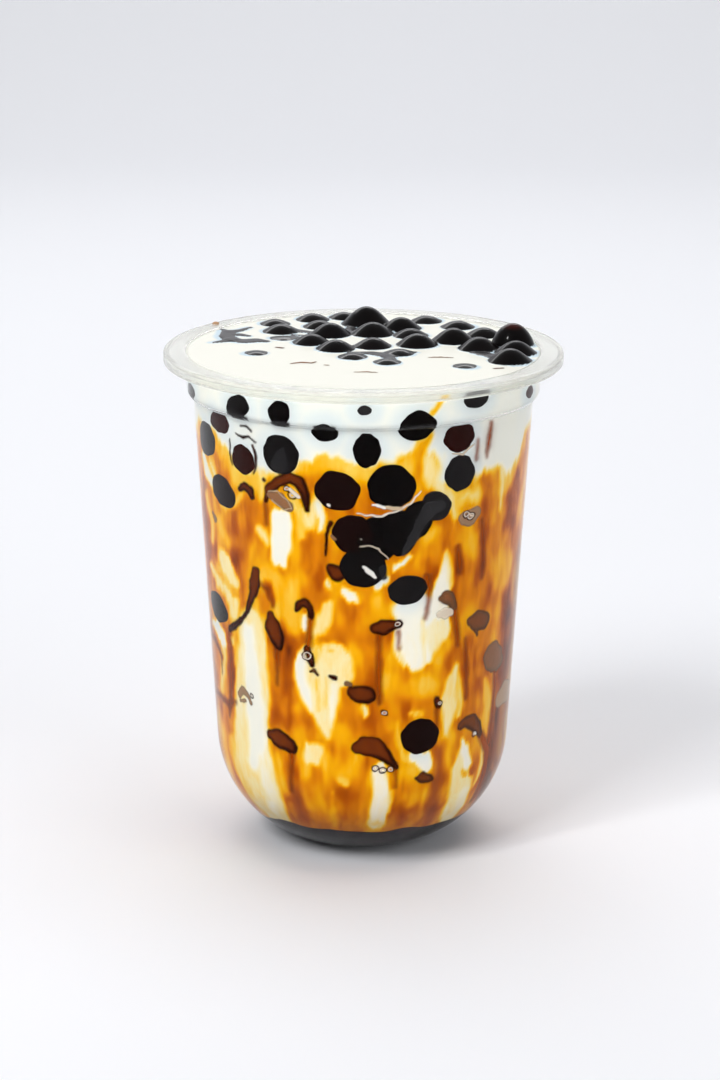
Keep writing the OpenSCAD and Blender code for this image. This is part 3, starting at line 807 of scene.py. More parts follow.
# Small round bubbles on the wall: degrees, height, radius. Each is a dark ring with a pale ring inside it,
# which is a painted highlight.
BUBBLES = [(-24.4, 93.8, 0.9), (-26.6, 95.2, 0.6), (-20.4, 54.8, 1.3), (12.8, 63.2, 0.8), (30.2, 42.3, 0.6),
           (8.2, 41.3, 0.7), (38, 88, 0.8), (40, 87.4, 1.1), (48.8, 32.2, 0.7), (5, 27.4, 0.7),
           (8, 26.8, 0.8), (11, 26.9, 0.7), (-46.6, 41.8, 0.5)]


class Tea:
    """The syrup in the tea along the wall, painted in order over a base."""

    BASE = 0.55

    def __init__(self, degrees, heights):
        warp = Noise(5, 9.0)
        sway = Noise(6, 7.0)
        self.x = degrees * DEGREE
        self.degrees = degrees
        self.z = heights
        self.dx = 0.38 * warp(1.5 * self.x, 0.6 * heights)
        self.dz = 0.6 * sway(1.6 * self.x, 0.5 * heights)
        self.syrup = np.full(degrees.shape, self.BASE)
        self.haze = np.zeros(degrees.shape)

    def milk_cap(self):
        """White milk above its uneven lower edge, with an amber band just under it."""
        edge = np.interp(self.degrees, *zip(*MILK_EDGE)) + 0.8 * Noise(9, 8.0)(self.x, 0 * self.x)
        above = self.z + self.dz - edge
        self.syrup += (0.42 - self.syrup) * 0.75 * smoothstep(-8, -1, above)
        self.syrup += (0.04 - self.syrup) * smoothstep(-2.0, 1.6, above)

    def marble(self):
        """Uneven upright veins and pools in the syrup, and none in the milk."""
        veins = Noise(14, 9.0, 3)(1.6 * self.x, 0.4 * self.z)
        pools = Noise(15, 9.0, 2)(self.x, 0.6 * self.z)
        self.syrup += (0.05 * veins + 0.085 * pools) * smoothstep(0.3, 0.5, self.syrup)

    def mask(self, softness, stroke):
        """How far each point lies in a stroke, from 0 to 1."""
        centre = stroke[0][0]
        turn = from_front(self.degrees - centre)
        x = turn * DEGREE + self.dx
        z = self.z + self.dz
        gap = chain_gap(x, z, [((d - centre) * DEGREE, h, w) for d, h, w in stroke])
        return smoothstep(softness / 2, -softness / 2, gap)

    def paint(self, value, softness, stroke):
        mask = self.mask(softness, stroke)
        self.syrup += (value - self.syrup) * mask

    # Lays painted shade and greyer streaks over the colour
    def cloud(self, value, softness, stroke):
        mask = self.mask(softness, stroke)
        self.haze += (value - self.haze) * mask


def from_front(degrees):
    """An angle from the front, brought between -180 and 180 degrees."""
    return (degrees + 180) % 360 - 180


def back_strokes():
    """Streaks round the back of the cup, brown ones and then milky ones, in the manner of those in front."""
    rng = np.random.default_rng(31)
    strokes = []

    def streaks(count, runs, lean_limit, widest, values, softness, shape):
        top_width, middle_lean, bottom_width = shape
        for _ in range(count):
            degrees = rng.uniform(84, 276)
            height = rng.uniform(14, 92)
            run = rng.uniform(*runs)
            lean = rng.uniform(-lean_limit, lean_limit)
            half = rng.uniform(0.8, widest)
            strokes.append((rng.choice(values), softness, [
                (from_front(degrees), height + run / 2, top_width * half),
                (from_front(degrees + middle_lean * lean), height, half),
                (from_front(degrees + lean), height - run / 2, bottom_width * half),
            ]))

    streaks(60, (6, 20), 4, 3.2, [0.42, 0.46, 0.56, 0.62, 0.68, 0.74], 3.0, (0.5, 0.4, 0.6))
    streaks(46, (4, 18), 5, 3.6, [0.05, 0.08, 0.16, 0.22, 0.26, 0.32], 1.8, (0.9, 0.5, 0.35))
    return strokes


def chain_gap(x, y, line):
    """Distance in millimetres from points in a plane to a chain of round dabs, negative inside it."""
    best = np.full(np.shape(x), 1e9)
    for (x0, y0, w0), (x1, y1, w1) in zip(line, line[1:] or line):
        squared = max((x1 - x0) ** 2 + (y1 - y0) ** 2, 1e-9)
        share = np.clip(((x - x0) * (x1 - x0) + (y - y0) * (y1 - y0)) / squared, 0, 1)
        gap = np.hypot(x - x0 - share * (x1 - x0), y - y0 - share * (y1 - y0)) - (w0 + share * (w1 - w0))
        best = np.minimum(best, gap)
    return best


def add_dab(bundle, chain, pale, lift=0.0, step=0.28, rim=1.4, soft=0.3, full=1.0, core=0.93,
            ash=0.0, deep=1.0, flat=False, seed=1):
    """A thin dab along a chain of points on the wall, or flat on the drink.

    Lift raises it off the wall and step is its mesh size. Its dark edge is rim wide, reaching further in on
    the lower right as painted shade, and fades out over soft.
    Full and core are how well the edge and the middle cover, and deep is how dark it gets.
    """
    unit = 1.0 if flat else DEGREE
    line = [(x * unit, y, w) for x, y, w in chain]
    xs, ys, ws = zip(*line)
    margin = max(ws) + 0.4 + soft
    x, y = np.meshgrid(
        np.arange(min(xs) - margin, max(xs) + margin, step),
        np.arange(min(ys) - margin, max(ys) + margin, step),
    )
    warp = Noise(seed, 3.0, 2)
    gap = chain_gap(x + 0.14 * warp(x, y), y + 0.14 * warp(y, x), line)
    if flat:
        points = np.stack([x, y, np.full(x.shape, FILL + 0.03)], -1)
    else:
        points = on_wall(x / DEGREE, y, SKIN + 0.03 + lift + np.clip(-0.3 * gap, -0.02, 0.05))
    # Painted shade: the dark edge reaches further in on the lower right, the side away from the light
    shade_low_right = np.clip((x - np.mean(xs)) * 0.2 - (y - np.mean(ys)) * 0.3, -1.5, 1.5)
    edge = smoothstep(-rim, 0.1, gap + 0.25 * shade_low_right)
    cover = (core + (full - core) * edge) * smoothstep(soft, -soft, gap)
    points, faces, used = kept_part(points, grid_faces(*x.shape, wrap=False), gap < soft + 0.1)
    edge = deep * (0.25 + 0.75 * edge.ravel()[used])
    bundle.add(points, faces, edge=edge, cover=cover.ravel()[used], pale=pale, ash=ash)


def add_drop(bundle, x, y, z, radius):
    """A small round drop that lies on a level surface."""
    around = np.linspace(0, 2 * math.pi, 20, endpoint=False)[None, :]
    up = np.radians([2, 20, 40, 60, 80])[:, None]
    points = np.stack([
        x + radius * np.cos(up) * np.cos(around),
        y + radius * np.cos(up) * np.sin(around),
        z + 0.7 * radius * np.sin(up) + 0 * around,
    ], -1)
    points, faces = closed_grid(points)
    bundle.add(points, faces, edge=0.0, cover=0.85, pale=0.45, ash=0.0)


def ring(degrees, height, radius, half):
    """A chain of points round a bubble on the wall, which is a little wider than tall."""
    chain = []
    for a in np.linspace(0, 2 * math.pi, 13):
        chain.append((degrees + radius * math.cos(a) / DEGREE, height + 0.8 * radius * math.sin(a), half))
    return chain


def build_drips(look):
    """Drips, trails, foam and bubbles on the wall, flecks on the milk and a drop on the rim."""
    material = drip_material(look.drip_colour, look.drip_rim_colour)
    bundle = Bundle()
    trail = dict(soft=0.9, full=0.8, core=0.8, rim=0.4, deep=0.1)
    for index, chain in enumerate(TAILS):
        add_dab(bundle, chain, 0.0, seed=230 + index, **trail)
    for index, (pale, chain) in enumerate(DRIPS):
        add_dab(bundle, chain, pale, lift=0.01, seed=200 + index)
    for index, (pale, chain) in enumerate(FOAM):
        add_dab(bundle, chain, pale, lift=0.05, step=0.25, rim=0.5, core=0.85, seed=260 + index)
    thin = dict(step=0.16, rim=0.3, soft=0.15, core=0.9)
    for index, (degrees, height, radius) in enumerate(BUBBLES):
        add_dab(bundle, ring(degrees, height, radius + 0.15, 0.16), 0.0, lift=0.06, seed=280 + index, **thin)
        # the pale inner ring is a painted highlight on the bubble
        add_dab(bundle, ring(degrees, height, 0.75 * radius, 0.13), 0.85, lift=0.07, seed=281 + index, **thin)
    # Grey pearl faces, and painted reflections of light across the pearls
    for index, (ash, chain) in enumerate(FACES_AND_REFLECTIONS):
        add_dab(bundle, chain, 0.0, lift=0.25, step=0.22, rim=0.5, core=0.9, ash=ash, seed=340 + index)
    # Milk marks, and painted glints on the pearls and a drip
    for index, (pale, chain) in enumerate(MARKS_AND_GLINTS):
        add_dab(bundle, chain, pale, lift=0.28, seed=380 + index, **thin)
    for index, (pale, chain) in enumerate(FLECKS):
        add_dab(bundle, chain, pale, flat=True, seed=460 + index, **dict(thin, soft=0.3))
    add_drop(bundle, *RIM_DROP)
    rng = np.random.default_rng(44)
    for index in range(look.back_drips):
        degrees = from_front(rng.uniform(86, 274))
        height = rng.uniform(14, 92)
        half = rng.uniform(0.9, 2.2)
        chain = [
            (degrees - 3, height - 0.6, 0.6 * half),
            (degrees, height, half),
            (degrees + 3, height - 0.2, 0.6 * half),
        ]
        add_dab(bundle, chain, rng.uniform(0, 0.3), seed=300 + index)
        if rng.uniform() < 0.6:
            tail = [(degrees + 3, height - 0.6, 0.6), (degrees + 3.6, height - rng.uniform(4, 12), 0.3)]
            add_dab(bundle, tail, 0.0, seed=420 + index, **trail)
    bundle.finish("syrup_drips", material)


def all_wall_pearls(tries):
    """The front's pearls with seeded ones added behind, most of them high up and none too near another."""
    rng = np.random.default_rng(52)
    pearls = list(WALL_PEARLS)
    for _ in range(tries):
        degrees = from_front(rng.uniform(88, 272))
        height = 116 - 46 * rng.uniform() ** 1.3
        if rng.uniform() < 0.2:
            height = rng.uniform(25, 70)
        size = rng.uniform(7, 9.6)
        near = min(math.hypot((degrees - p[0]) * DEGREE, height - p[1]) for p in pearls)
        if near < 7.5:
            continue
        tall = size * rng.uniform(0.78, 1.0)
        grey = rng.uniform(0, 0.4)
        red = rng.uniform(0, 0.1)
        pearls.append((degrees, height, size, tall, grey, red, rng.uniform(-20, 20)))
    return pearls


def wall_pearl(degrees, height, width, tall, tilt, seed):
    """A pearl that is sunk into the drink and flattened by the wall, as a closed grid."""
    rows, columns = 30, 44
    depth = 4.7
    face = 0.88  # share of the pearl's half-width that lies flat against the wall
    sink = depth * (1 - math.sqrt(1 - face ** 2))
    polar = np.linspace(0.04, math.pi - 0.04, rows)[:, None]
    around = np.linspace(0, 2 * math.pi, columns, endpoint=False)[None, :]
    wobble = 1 + 0.06 * Noise(seed, 4.0, 2)(3 * np.cos(around), 3 * np.sin(around))
    level = width / 2 / face * np.sin(polar) * np.cos(around) * wobble
    upright = tall / 2 / face * np.sin(polar) * np.sin(around) * wobble
    turn = math.radians(tilt)
    across = level * math.cos(turn) - upright * math.sin(turn)
    z = height + level * math.sin(turn) + upright * math.cos(turn)
    out = inner_radius(height) - depth + sink + depth * np.cos(polar)
    angle = math.radians(degrees)
    x = out * math.sin(angle) + across * math.cos(angle)
    y = -out * math.cos(angle) + across * math.sin(angle)
    # The wall steps outwards at these heights, so the pearl may reach a little further there
    at_step = smoothstep(108.6, 109.4, z) * smoothstep(112.6, 111.8, z)
    limit = inner_radius(np.clip(z, PROFILE[0, 1], FILL)) + 0.22 + 0.11 * at_step
    shrink = np.minimum(1, limit / np.hypot(x, y))
    return closed_grid(np.stack([x * shrink, y * shrink, np.minimum(z, FILL - 0.4)], -1))


def build_wall_pearls(look):
    """The pearls that show through the wall, placed ones in front and seeded ones behind."""
    material = pearl_material("tapioca_sunk", look.pearl_colour, 0.0)
    bundle = Bundle()
    pearls = all_wall_pearls(look.back_pearls)
    for index, (degrees, height, width, tall, grey, red, tilt) in enumerate(pearls):
        points, faces = wall_pearl(degrees, height, width, tall, tilt, 400 + index)
        bundle.add(points, faces, red=red, grey=grey)
    bundle.finish("sunk_pearls", material)


def build_cup(cup):
    """The clear cup as one turned shell, with its foot ring, step, collar and frosted rim."""
    _, high = corner("cup")
    cup_h, rim_r = high.z, high.x
    wall, bend, body_r = cup.wall / MM, cup.bend / MM, cup.body / 2 / MM
    draft, slope = cup.draft, cup.slope
    step_w, mouth, step_z = cup.step / MM, cup.mouth / MM, cup_h - cup.collar / MM
    rim_t, lip_t, lip_h, lip_r = cup.rim / MM, cup.lip / MM, cup.lip_height / MM, 0.6 * cup.lip / MM
    foot_w, foot_h = cup.foot / MM, cup.foot_height / MM
    collar_r = body_r + step_w
    mouth_in = collar_r - wall
    bend_z = bend * math.cos(slope)
    side_h = step_z - bend_z + bend * math.sin(draft)
    bend_x = body_r - math.tan(draft) * side_h - bend * math.cos(draft)
    foot_r = bend_x + bend * math.sin(slope)
    floor_z = foot_h + wall
    inner_bend = bend - wall
    floor_r = bend_x + math.sqrt(inner_bend ** 2 - (bend_z - floor_z) ** 2)
    floor_angle = -math.degrees(math.acos((floor_r - bend_x) / inner_bend))
    side_angle = -math.degrees(draft)
    bottom_angle = math.degrees(slope) - 90

    def arc(x, z, radius, start, end, steps):
        angles = np.radians(np.linspace(start, end, steps + 1))
        return [(x + radius * math.cos(a), z + radius * math.sin(a)) for a in angles]

    # From the middle of the underside, round the outside to the rim and back down the inside
    outline = [(0.0, foot_h), (foot_r - foot_w - 0.2, foot_h), (foot_r - foot_w, foot_h - 0.15)]
    outline += [(foot_r - foot_w, 0.15), (foot_r - foot_w + 0.15, 0.0), (foot_r - 0.1, 0.0)]
    outline += arc(bend_x, bend_z, bend, bottom_angle + 1.0, side_angle, 40)
    outline += [(body_r - 0.03, step_z - 0.5), (body_r, step_z)]
    outline += arc(body_r, step_z + step_w, step_w, -90, 0, 8)
    outline += [(collar_r, cup_h - rim_t - 0.5)]
    outline += arc(collar_r + 0.4, cup_h - rim_t - 0.4, 0.4, 180, 90, 4)
    outline += [(rim_r - lip_t - 0.3, cup_h - rim_t), (rim_r - lip_t, cup_h - rim_t - 0.3)]
    outline += [(rim_r - lip_t, cup_h - lip_h + 0.3)]
    outline += arc(rim_r - lip_t / 2, cup_h - lip_h + lip_t / 2, lip_t / 2, 180, 360, 8)
    outline += arc(rim_r - lip_r, cup_h - lip_r, lip_r, 0, 90, 8)
    outline += arc(mouth_in + mouth, cup_h - mouth, mouth, 90, 180, 10)
    outline += arc(body_r, step_z + step_w, step_w - wall, 0, -90, 6)
    outline += arc(body_r, step_z, wall, 90, 180, 6)
    outline += arc(bend_x, bend_z, inner_bend, side_angle, floor_angle, 40)
    outline += [(0.0, floor_z)]
    columns = 256
    angles = np.linspace(0, 2 * math.pi, columns, endpoint=False)
    turned = np.array(outline)[1:-1]
    grid = np.stack([
        turned[:, :1] * np.sin(angles),
        -turned[:, :1] * np.cos(angles),
        np.repeat(turned[:, 1:], columns, 1),
    ], -1)
    points, faces = closed_grid(grid)
    middles = np.array([points[list(face)].mean(0) for face in faces])
    rim = (middles[:, 2] > cup_h - lip_h - 0.1) & (np.hypot(middles[:, 0], middles[:, 1]) > collar_r - 0.2)
    body = plastic_material("clear_plastic", cup.tint, clearness=1.0, roughness=0.03, gloss=cup.gloss)
    frosted = plastic_material("frosted_rim", cup.rim_tint, cup.rim_clearness, roughness=0.22, gloss=cup.gloss)
    add_piece("cup_shell", points, faces, body, nodes=("cup",), sharp=35,
              second=(frosted, rim))


def syrup_edge(degrees):
    """Height of the dark syrup's uneven edge on the wall, lower towards the sides and back."""
    wave = Noise(21, 22.0, 2)
    return 9.4 + 0.5 * wave(degrees * DEGREE, 0.0 * degrees) - 1.6 * smoothstep(40, 80, np.abs(degrees))


def profile_line():
    """The drink's outline along the wall, with the length run from the floor's edge to the brim."""
    radius, height = PROFILE[:, 0], PROFILE[:, 1]
    length = np.concatenate([[0], np.cumsum(np.hypot(np.diff(radius), np.diff(height)))])
    return radius, height, length


def painted_tea(degrees, z):
    """The tea along the wall with every streak painted, from the base up."""
    field = Tea(degrees, z)
    for value, softness, stroke in back_strokes() + BROAD_STROKES:
        field.paint(value, softness, stroke)
    field.milk_cap()
    for value, softness, stroke in STROKES:
        field.paint(value, softness, stroke)
    field.marble()
    for value, softness, stroke in SHADE_AND_HAZE:
        field.cloud(value, softness, stroke)
    return field


def cool_shade(degrees, z, syrup):
    """The bluish shade that the milk takes round the pearls at the wall."""
    shade = np.zeros(z.shape)
    for spot, height, width, tall, *_ in WALL_PEARLS:
        turn = from_front(degrees - spot)
        out = np.hypot(turn * DEGREE / (width / 2 + 3.5), (z - height) / (tall / 2 + 3.5))
        shade = np.maximum(shade, 0.35 * smoothstep(1.1, 0.5, out) * smoothstep(0.30, 0.05, syrup))
    return shade


def build_tea(look):
    """The milk tea, streaked with syrup along the wall and swelling over the pearls on top."""
    degrees = np.linspace(-180, 180, look.columns, endpoint=False)
    angle = np.radians(degrees)
    radius, height, length = profile_line()
    start = np.interp(syrup_edge(degrees), height, length)
    along = start + np.linspace(0, 1, look.rows)[:, None] * (length[-1] - start)
    r = np.interp(along, length, radius) + SKIN
    z = np.interp(along, length, height)
    side = np.stack([r * np.sin(angle), -r * np.cos(angle), z], -1)
    under = side[:1] * np.array([0.6, 0.6, 1.0])
    field = painted_tea(np.broadcast_to(degrees, z.shape), z)

    top_r = np.linspace(1, 0, 60)[1:-1, None] * r[-1]
    top_x, top_y = top_r * np.sin(angle), -top_r * np.cos(angle)
    surface = Surface()
    swell = np.minimum(surface.height(top_x, top_y), 0.6)
    top = np.stack([top_x, top_y, FILL - SURFACE_DROP + swell], -1)
    film = smoothstep(surface.EDGE + 0.12, surface.EDGE + 0.22, swell)
    near = surface.height(0.97 * top_x, 0.97 * top_y)
    blue = 0.8 * smoothstep(0.0, surface.EDGE, np.maximum(swell, 0.8 * near))

    def values(on_side, on_top, at_floor=0.0, at_middle=0.0):
        on_side = np.broadcast_to(on_side, z.shape)
        rows = [on_side[:1], on_side, np.broadcast_to(on_top, top_r.shape)]
        return np.append(np.concatenate(rows).ravel(), [at_floor, at_middle])

    points, faces = closed_grid(np.concatenate([under, side, top]))
    material = tea_material(look.milk, look.amber, look.brown)
    add_piece("tea", points, faces, material, {
        "syrup": values(field.syrup, 0.0, at_floor=0.5),
        "haze": values(field.haze, 0.0),
        # the open top, painted lighter as if lit from above
        "open": values(0.0, 1.0, at_middle=1.0),
        "film": values(0.0, film),
        "blue": values(cool_shade(degrees, z, field.syrup), blue),
    }, ("milk_tea",))


def build_syrup(look):
    """The dark syrup at the bottom, up to its uneven edge on the wall."""
    degrees = np.linspace(-180, 180, look.columns, endpoint=False)
    angle = np.radians(degrees)
    radius, height, length = profile_line()
    end = np.interp(syrup_edge(degrees) + 0.1, height, length)
    share = np.linspace(0, 1, 24)[:, None]
    r = np.interp(share * end, length, radius) + SKIN
    z = np.interp(share * end, length, height)
    side = np.stack([r * np.sin(angle), -r * np.cos(angle), z - 0.05 * (share < 0.01)], -1)
    over = side[-1:] * np.array([0.6, 0.6, 1.0])
    points, faces = closed_grid(np.concatenate([side, over]))
    material = syrup_material(look.deep_syrup)
    add_piece("syrup_pool", points, faces, material, nodes=("syrup_layer",))


class Dome:
    """The mound of one pearl that breaks the surface: a bell, or a rounder cap where it stands high."""

    def __init__(self, node):
        low, high = corner(node)
        self.node = node
        self.x, self.y = (low.x + high.x) / 2, (low.y + high.y) / 2
        self.radius = (high.z - low.z) / 2
        self.rise = high.z - FILL
        roundness = float(smoothstep(0.85, 1.05, self.rise / self.radius))
        bell = math.sqrt(max(self.radius ** 2 - (self.radius - self.rise) ** 2, 1.0)) + 1.1
        self.reach = bell + roundness * (self.radius + 0.3 - bell)
        self.power = 1.35 - 0.62 * roundness

    def height(self, x, y):
        share = np.clip(np.hypot(x - self.x, y - self.y) / self.reach, 0, 1)
        return self.rise * (1 - share ** 2) ** self.power

    def around(self, distance, angle):
        """The places at a distance from the dome's middle, in each direction."""
        return self.x + distance * np.cos(angle), self.y + distance * np.sin(angle)


class Surface:
    """The top of the drink: the pearls' domes joined by one smooth skin of syrup and milk."""

    EDGE = 0.13  # height above which the skin is syrup
    BLEND = 2.6  # how sharply neighbouring mounds meet

    def __init__(self):
        nodes = sorted(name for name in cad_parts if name.startswith("pearl_"))
        self.domes = [Dome(node) for node in nodes]

    def height(self, x, y):
        total = 0.0
        for dome in self.domes:
            total = total + dome.height(x, y) ** self.BLEND
        for chain, rise in FILMS:
            total = total + (rise * smoothstep(0.9, -0.9, chain_gap(x, y, chain))) ** self.BLEND
        return total ** (1 / self.BLEND)


def build_film(look):
    """The dark skin of syrup that joins the pearls and lies in flat patches between them."""
    surface = Surface()
    step = 0.35
    line = np.arange(-42, 42 + step, step)
    x, y = np.meshgrid(line, line)
    swell = surface.height(x, y)
    ragged = 0.03 * Noise(77, 3.0, 2)(x, y)
    over = swell - surface.EDGE - ragged
    z = FILL - SURFACE_DROP + swell + np.clip(over * 1.5, -0.06, 0.03)
    steepest = 1.3
    steep = np.hypot(*np.gradient(swell, step)) > steepest
    keep = (over > -0.06) & (np.hypot(x, y) < inner_radius(FILL) - 0.3) & ~steep
    faces = grid_faces(len(line), len(line), wrap=False)
    points, faces, used = kept_part(np.stack([x, y, z], -1), faces, keep)
    thin = smoothstep(0.9, 0.3, swell).ravel()[used]
    material = pearl_material("syrup_film", look.pearl_colour, look.film_shine)
    values = {"red": np.zeros(len(used)), "grey": 0.35 * thin}
    add_piece("syrup_film", points, faces, material, values)


def dome_reach(surface, index, angle):
    """How far a dome runs in each direction before a neighbour, the skin's edge or the brim ends it."""
    dome = surface.domes[index]
    steps = np.linspace(0, 1, 240)[:, None] * (dome.reach + 0.4)
    x, y = dome.around(steps, angle)
    others = np.max([other.height(x, y) for other in surface.domes if other is not dome], 0)
    ragged = 0.03 * Noise(500 + index, 4.0, 2)(x, y)
    outside = (dome.height(x, y) < others) | (surface.height(x, y) < surface.EDGE + ragged)
    if dome.rise < 4:
        outside |= np.hypot(x, y) > inner_radius(FILL - 0.02) - 0.05
    first = np.where(outside.any(0), outside.argmax(0), len(steps) - 1)
    return steps[np.maximum(first - 1, 1), 0]


def build_pearls(look):
    """The pearls that break the surface, each a dome that runs into its neighbours' skin."""
    material = pearl_material("tapioca", look.pearl_colour, look.pearl_shine)
    surface = Surface()
    columns, rows = 72, 26
    angle = np.linspace(0, 2 * math.pi, columns, endpoint=False)
    share = np.sin(np.linspace(0, math.pi / 2, rows))[1:, None]
    for index, dome in enumerate(surface.domes):
        far = dome_reach(surface, index, angle)
        x, y = dome.around(far * share, angle)
        z = FILL + surface.height(x, y)
        cap = np.stack([x, y, z], -1)
        skirt = np.stack([*dome.around(far + 0.04, angle), z[-1] - 0.25], -1)
        root = dome.around(0.9 * np.minimum(far, dome.radius), angle)
        low = np.stack([*root, np.full(columns, FILL - 1.6)], -1)
        points, faces = closed_grid(np.concatenate([cap, skirt[None], low[None]])[::-1])
        # The tall pearl at the right lets light through near its top
        lit = np.clip((points[:, 2] - FILL - 4.0) / 2.5, 0, 1) * (dome.x > 32)
        values = {"red": 0.55 * lit, "grey": np.zeros(len(points))}
        add_piece(dome.node + "_dome", points, faces, material, values, (dome.node,))


# ---------------------------------------------------------------- the stage

# The studio's lights, in metres: place, the point it faces, width and length, and whether it shows as a
# reflection.
LIGHTS = {
    "key": ((-0.62, -0.78, 0.95), (0, 0, 0.06), (0.45, 0.45), False),
    "fill": ((1.1, -1.0, 0.7), (0, 0, 0.06), (1.2, 1.0), False),
    "top": ((0.1, 0.3, 1.3), (0, 0.1, 0.1), (1.4, 0.9), False),
    "backdrop": ((0.0, 0.8, 0.9), (0, 1.2, 0.1), (1.6, 0.3), False),
    "gleam": ((-0.15, 0.9, 0.72), (0, 0, 0.12), (0.9, 0.12), True),
    "window": ((-0.5, -0.5, 1.0), (0, 0, 0.12), (0.09, 0.16), True),
}


def area_light(name, place, target, size, glossy, power):
    """A rectangular light that faces its target."""
    light = bpy.data.lights.new(name, "AREA")
    light.shape = "RECTANGLE"
    light.size, light.size_y = size
    light.energy = power
    lamp = bpy.data.objects.new(name, light)
    lamp.location = place
    lamp.rotation_euler = (Vector(target) - Vector(place)).to_track_quat("-Z", "Y").to_euler()
    lamp.visible_glossy = glossy
    bpy.context.scene.collection.objects.link(lamp)


def build_floor(tint):
    """A floor that curves up behind into a backdrop."""
    material, _, shader = new_material("floor")
    set_inputs(shader, Base_Color=(*tint, 1), Roughness=0.9, Specular_IOR_Level=0.1)
    half = 3.5
    curve_y = 1.0
    curve_r = 0.4
    rows = [(-half, 0.0), (curve_y, 0.0)]
    for a in np.radians(np.linspace(6, 80, 13)):
        rows.append((curve_y + curve_r * math.sin(a), curve_r - curve_r * math.cos(a)))
    rows.append((1.6, 1.6))
    points = [(x, y, z) for y, z in rows for x in (-half, half)]
    faces = [(2 * i, 2 * i + 1, 2 * i + 3, 2 * i + 2) for i in range(len(rows) - 1)]
    mesh = bpy.data.meshes.new("floor")
    mesh.from_pydata(points, [], faces)
    mesh.polygons.foreach_set("use_smooth", np.ones(len(faces), bool))
    mesh.materials.append(material)
    floor = bpy.data.objects.new("floor", mesh)
    bpy.context.scene.collection.objects.link(floor)


def build_stage(stage):
    """The floor, the studio lights and the camera."""
    scene = bpy.context.scene
    scene.view_settings.view_transform = "Standard"
    build_floor(stage.floor_colour)

    world = bpy.data.worlds.new("studio")
    world.use_nodes = True
    background = world.node_tree.nodes["Background"]
    set_inputs(background, Color=(0.97, 0.98, 1.0, 1), Strength=stage.surround)
    scene.world = world

    for name, light in LIGHTS.items():
        area_light(name, *light, getattr(stage, name))

    camera = bpy.data.objects.new("camera", bpy.data.cameras.new("camera"))
    camera.data.lens = stage.lens
    camera.data.sensor_width = 36.0
    camera.data.clip_start = 0.01
    pose = Matrix.Rotation(stage.pitch, 4, "X") @ Matrix.Rotation(stage.roll, 4, "Z")
    camera.matrix_world = Matrix.Translation(stage.camera) @ pose
    scene.collection.objects.link(camera)
    scene.camera = camera


# ---------------------------------------------------------------- the add-on

def length_property(name, description, millimetres):
    return FloatProperty(name=name, description=description, default=millimetres * MM,
                         min=0.0, precision=5, unit="LENGTH")


def colour_property(name, description, red, green, blue):
    return FloatVectorProperty(name=name, description=description, default=linear(red, green, blue)[:3],
                               min=0.0, max=1.0, size=3, subtype="COLOR")


def angle_property(name, description, degrees):
    return FloatProperty(name=name, description=description, default=math.radians(degrees), subtype="ANGLE")


def power_property(name, description, watts):
    return FloatProperty(name=name, description=description, default=watts, min=0.0, unit="POWER")


def factor_property(name, description, share):
    return FloatProperty(name=name, description=description, default=share,
                         min=0.0, max=1.0, subtype="FACTOR")


def count_property(name, description, count, lowest, highest):
    return IntProperty(name=name, description=description, default=count, min=lowest, max=highest)


class CupSettings(PropertyGroup):
    body: length_property("Body Width", "Outside diameter of the body, just under the step", 81)
    wall: length_property("Wall", "Thickness of the wall", 0.6)
    bend: length_property("Bend", "Radius of the big bend between the side and the bottom", 28)
    collar: length_property("Collar", "Distance from the top of the rim down to the step", 10.5)
    step: length_property("Step", "Width of the step under the collar", 1.5)
    mouth: length_property("Mouth Rounding", "Radius of the rounding at the mouth", 1.5)
    rim: length_property("Rim Thickness", "Thickness of the rim plate", 1)
    lip: length_property("Lip Thickness", "Thickness of the turned-down lip", 1.1)
    lip_height: length_property("Lip Height", "Height of the turned-down lip", 2.7)
    foot: length_property("Foot Width", "Width of the flat ring that the cup stands on", 1.2)
    foot_height: length_property("Foot Height", "Height of the hollow inside the foot ring", 0.8)
    draft: angle_property("Draft", "How far the side leans out from the vertical", 3.5)
    slope: angle_property("Bottom Slope", "Slope of the bottom where it meets the foot ring", 13.5)
    tint: colour_property("Plastic", "Colour of the clear plastic", 254, 255, 255)
    rim_tint: colour_property("Rim", "Colour of the frosted rim", 240, 240, 235)
    rim_clearness: factor_property("Rim Clearness", "How clear the frosted rim is", 0.84)
    gloss: factor_property("Gloss", "How strongly the plastic reflects", 0.2)


class DrinkSettings(PropertyGroup):
    milk: colour_property("Milk", "Colour of the milk seen through the wall", 240, 242, 236)
    amber: colour_property("Amber", "Colour of the tea where it is half syrup", 250, 184, 0)
    brown: colour_property("Brown", "Colour of the tea where it is rich in syrup", 154, 68, 0)
    deep_syrup: colour_property("Deep Syrup", "Colour of the syrup at the bottom", 50, 46, 49)
    columns: count_property("Columns", "Steps round the drink", 400, 48, 600)
    rows: count_property("Rows", "Steps up the drink's side", 150, 24, 240)


class ToppingSettings(PropertyGroup):
    pearl_colour: colour_property("Pearls", "Colour of the tapioca pearls", 9, 6, 6)
    drip_colour: colour_property("Drips", "Colour of the thick drips at their middle", 112, 48, 14)
    drip_rim_colour: colour_property("Drip Edges", "Colour of the thick drips near their edge", 56, 18, 6)
    pearl_shine: factor_property("Pearl Shine", "How strongly the wet pearls on top shine", 0.62)
    film_shine: factor_property("Film Shine", "How strongly the syrup film on top shines", 0.35)
    back_pearls: count_property("Pearls Behind", "Pearls tried along the back wall", 30, 0, 60)
    back_drips: count_property("Drips Behind", "Drips along the back wall", 34, 0, 60)


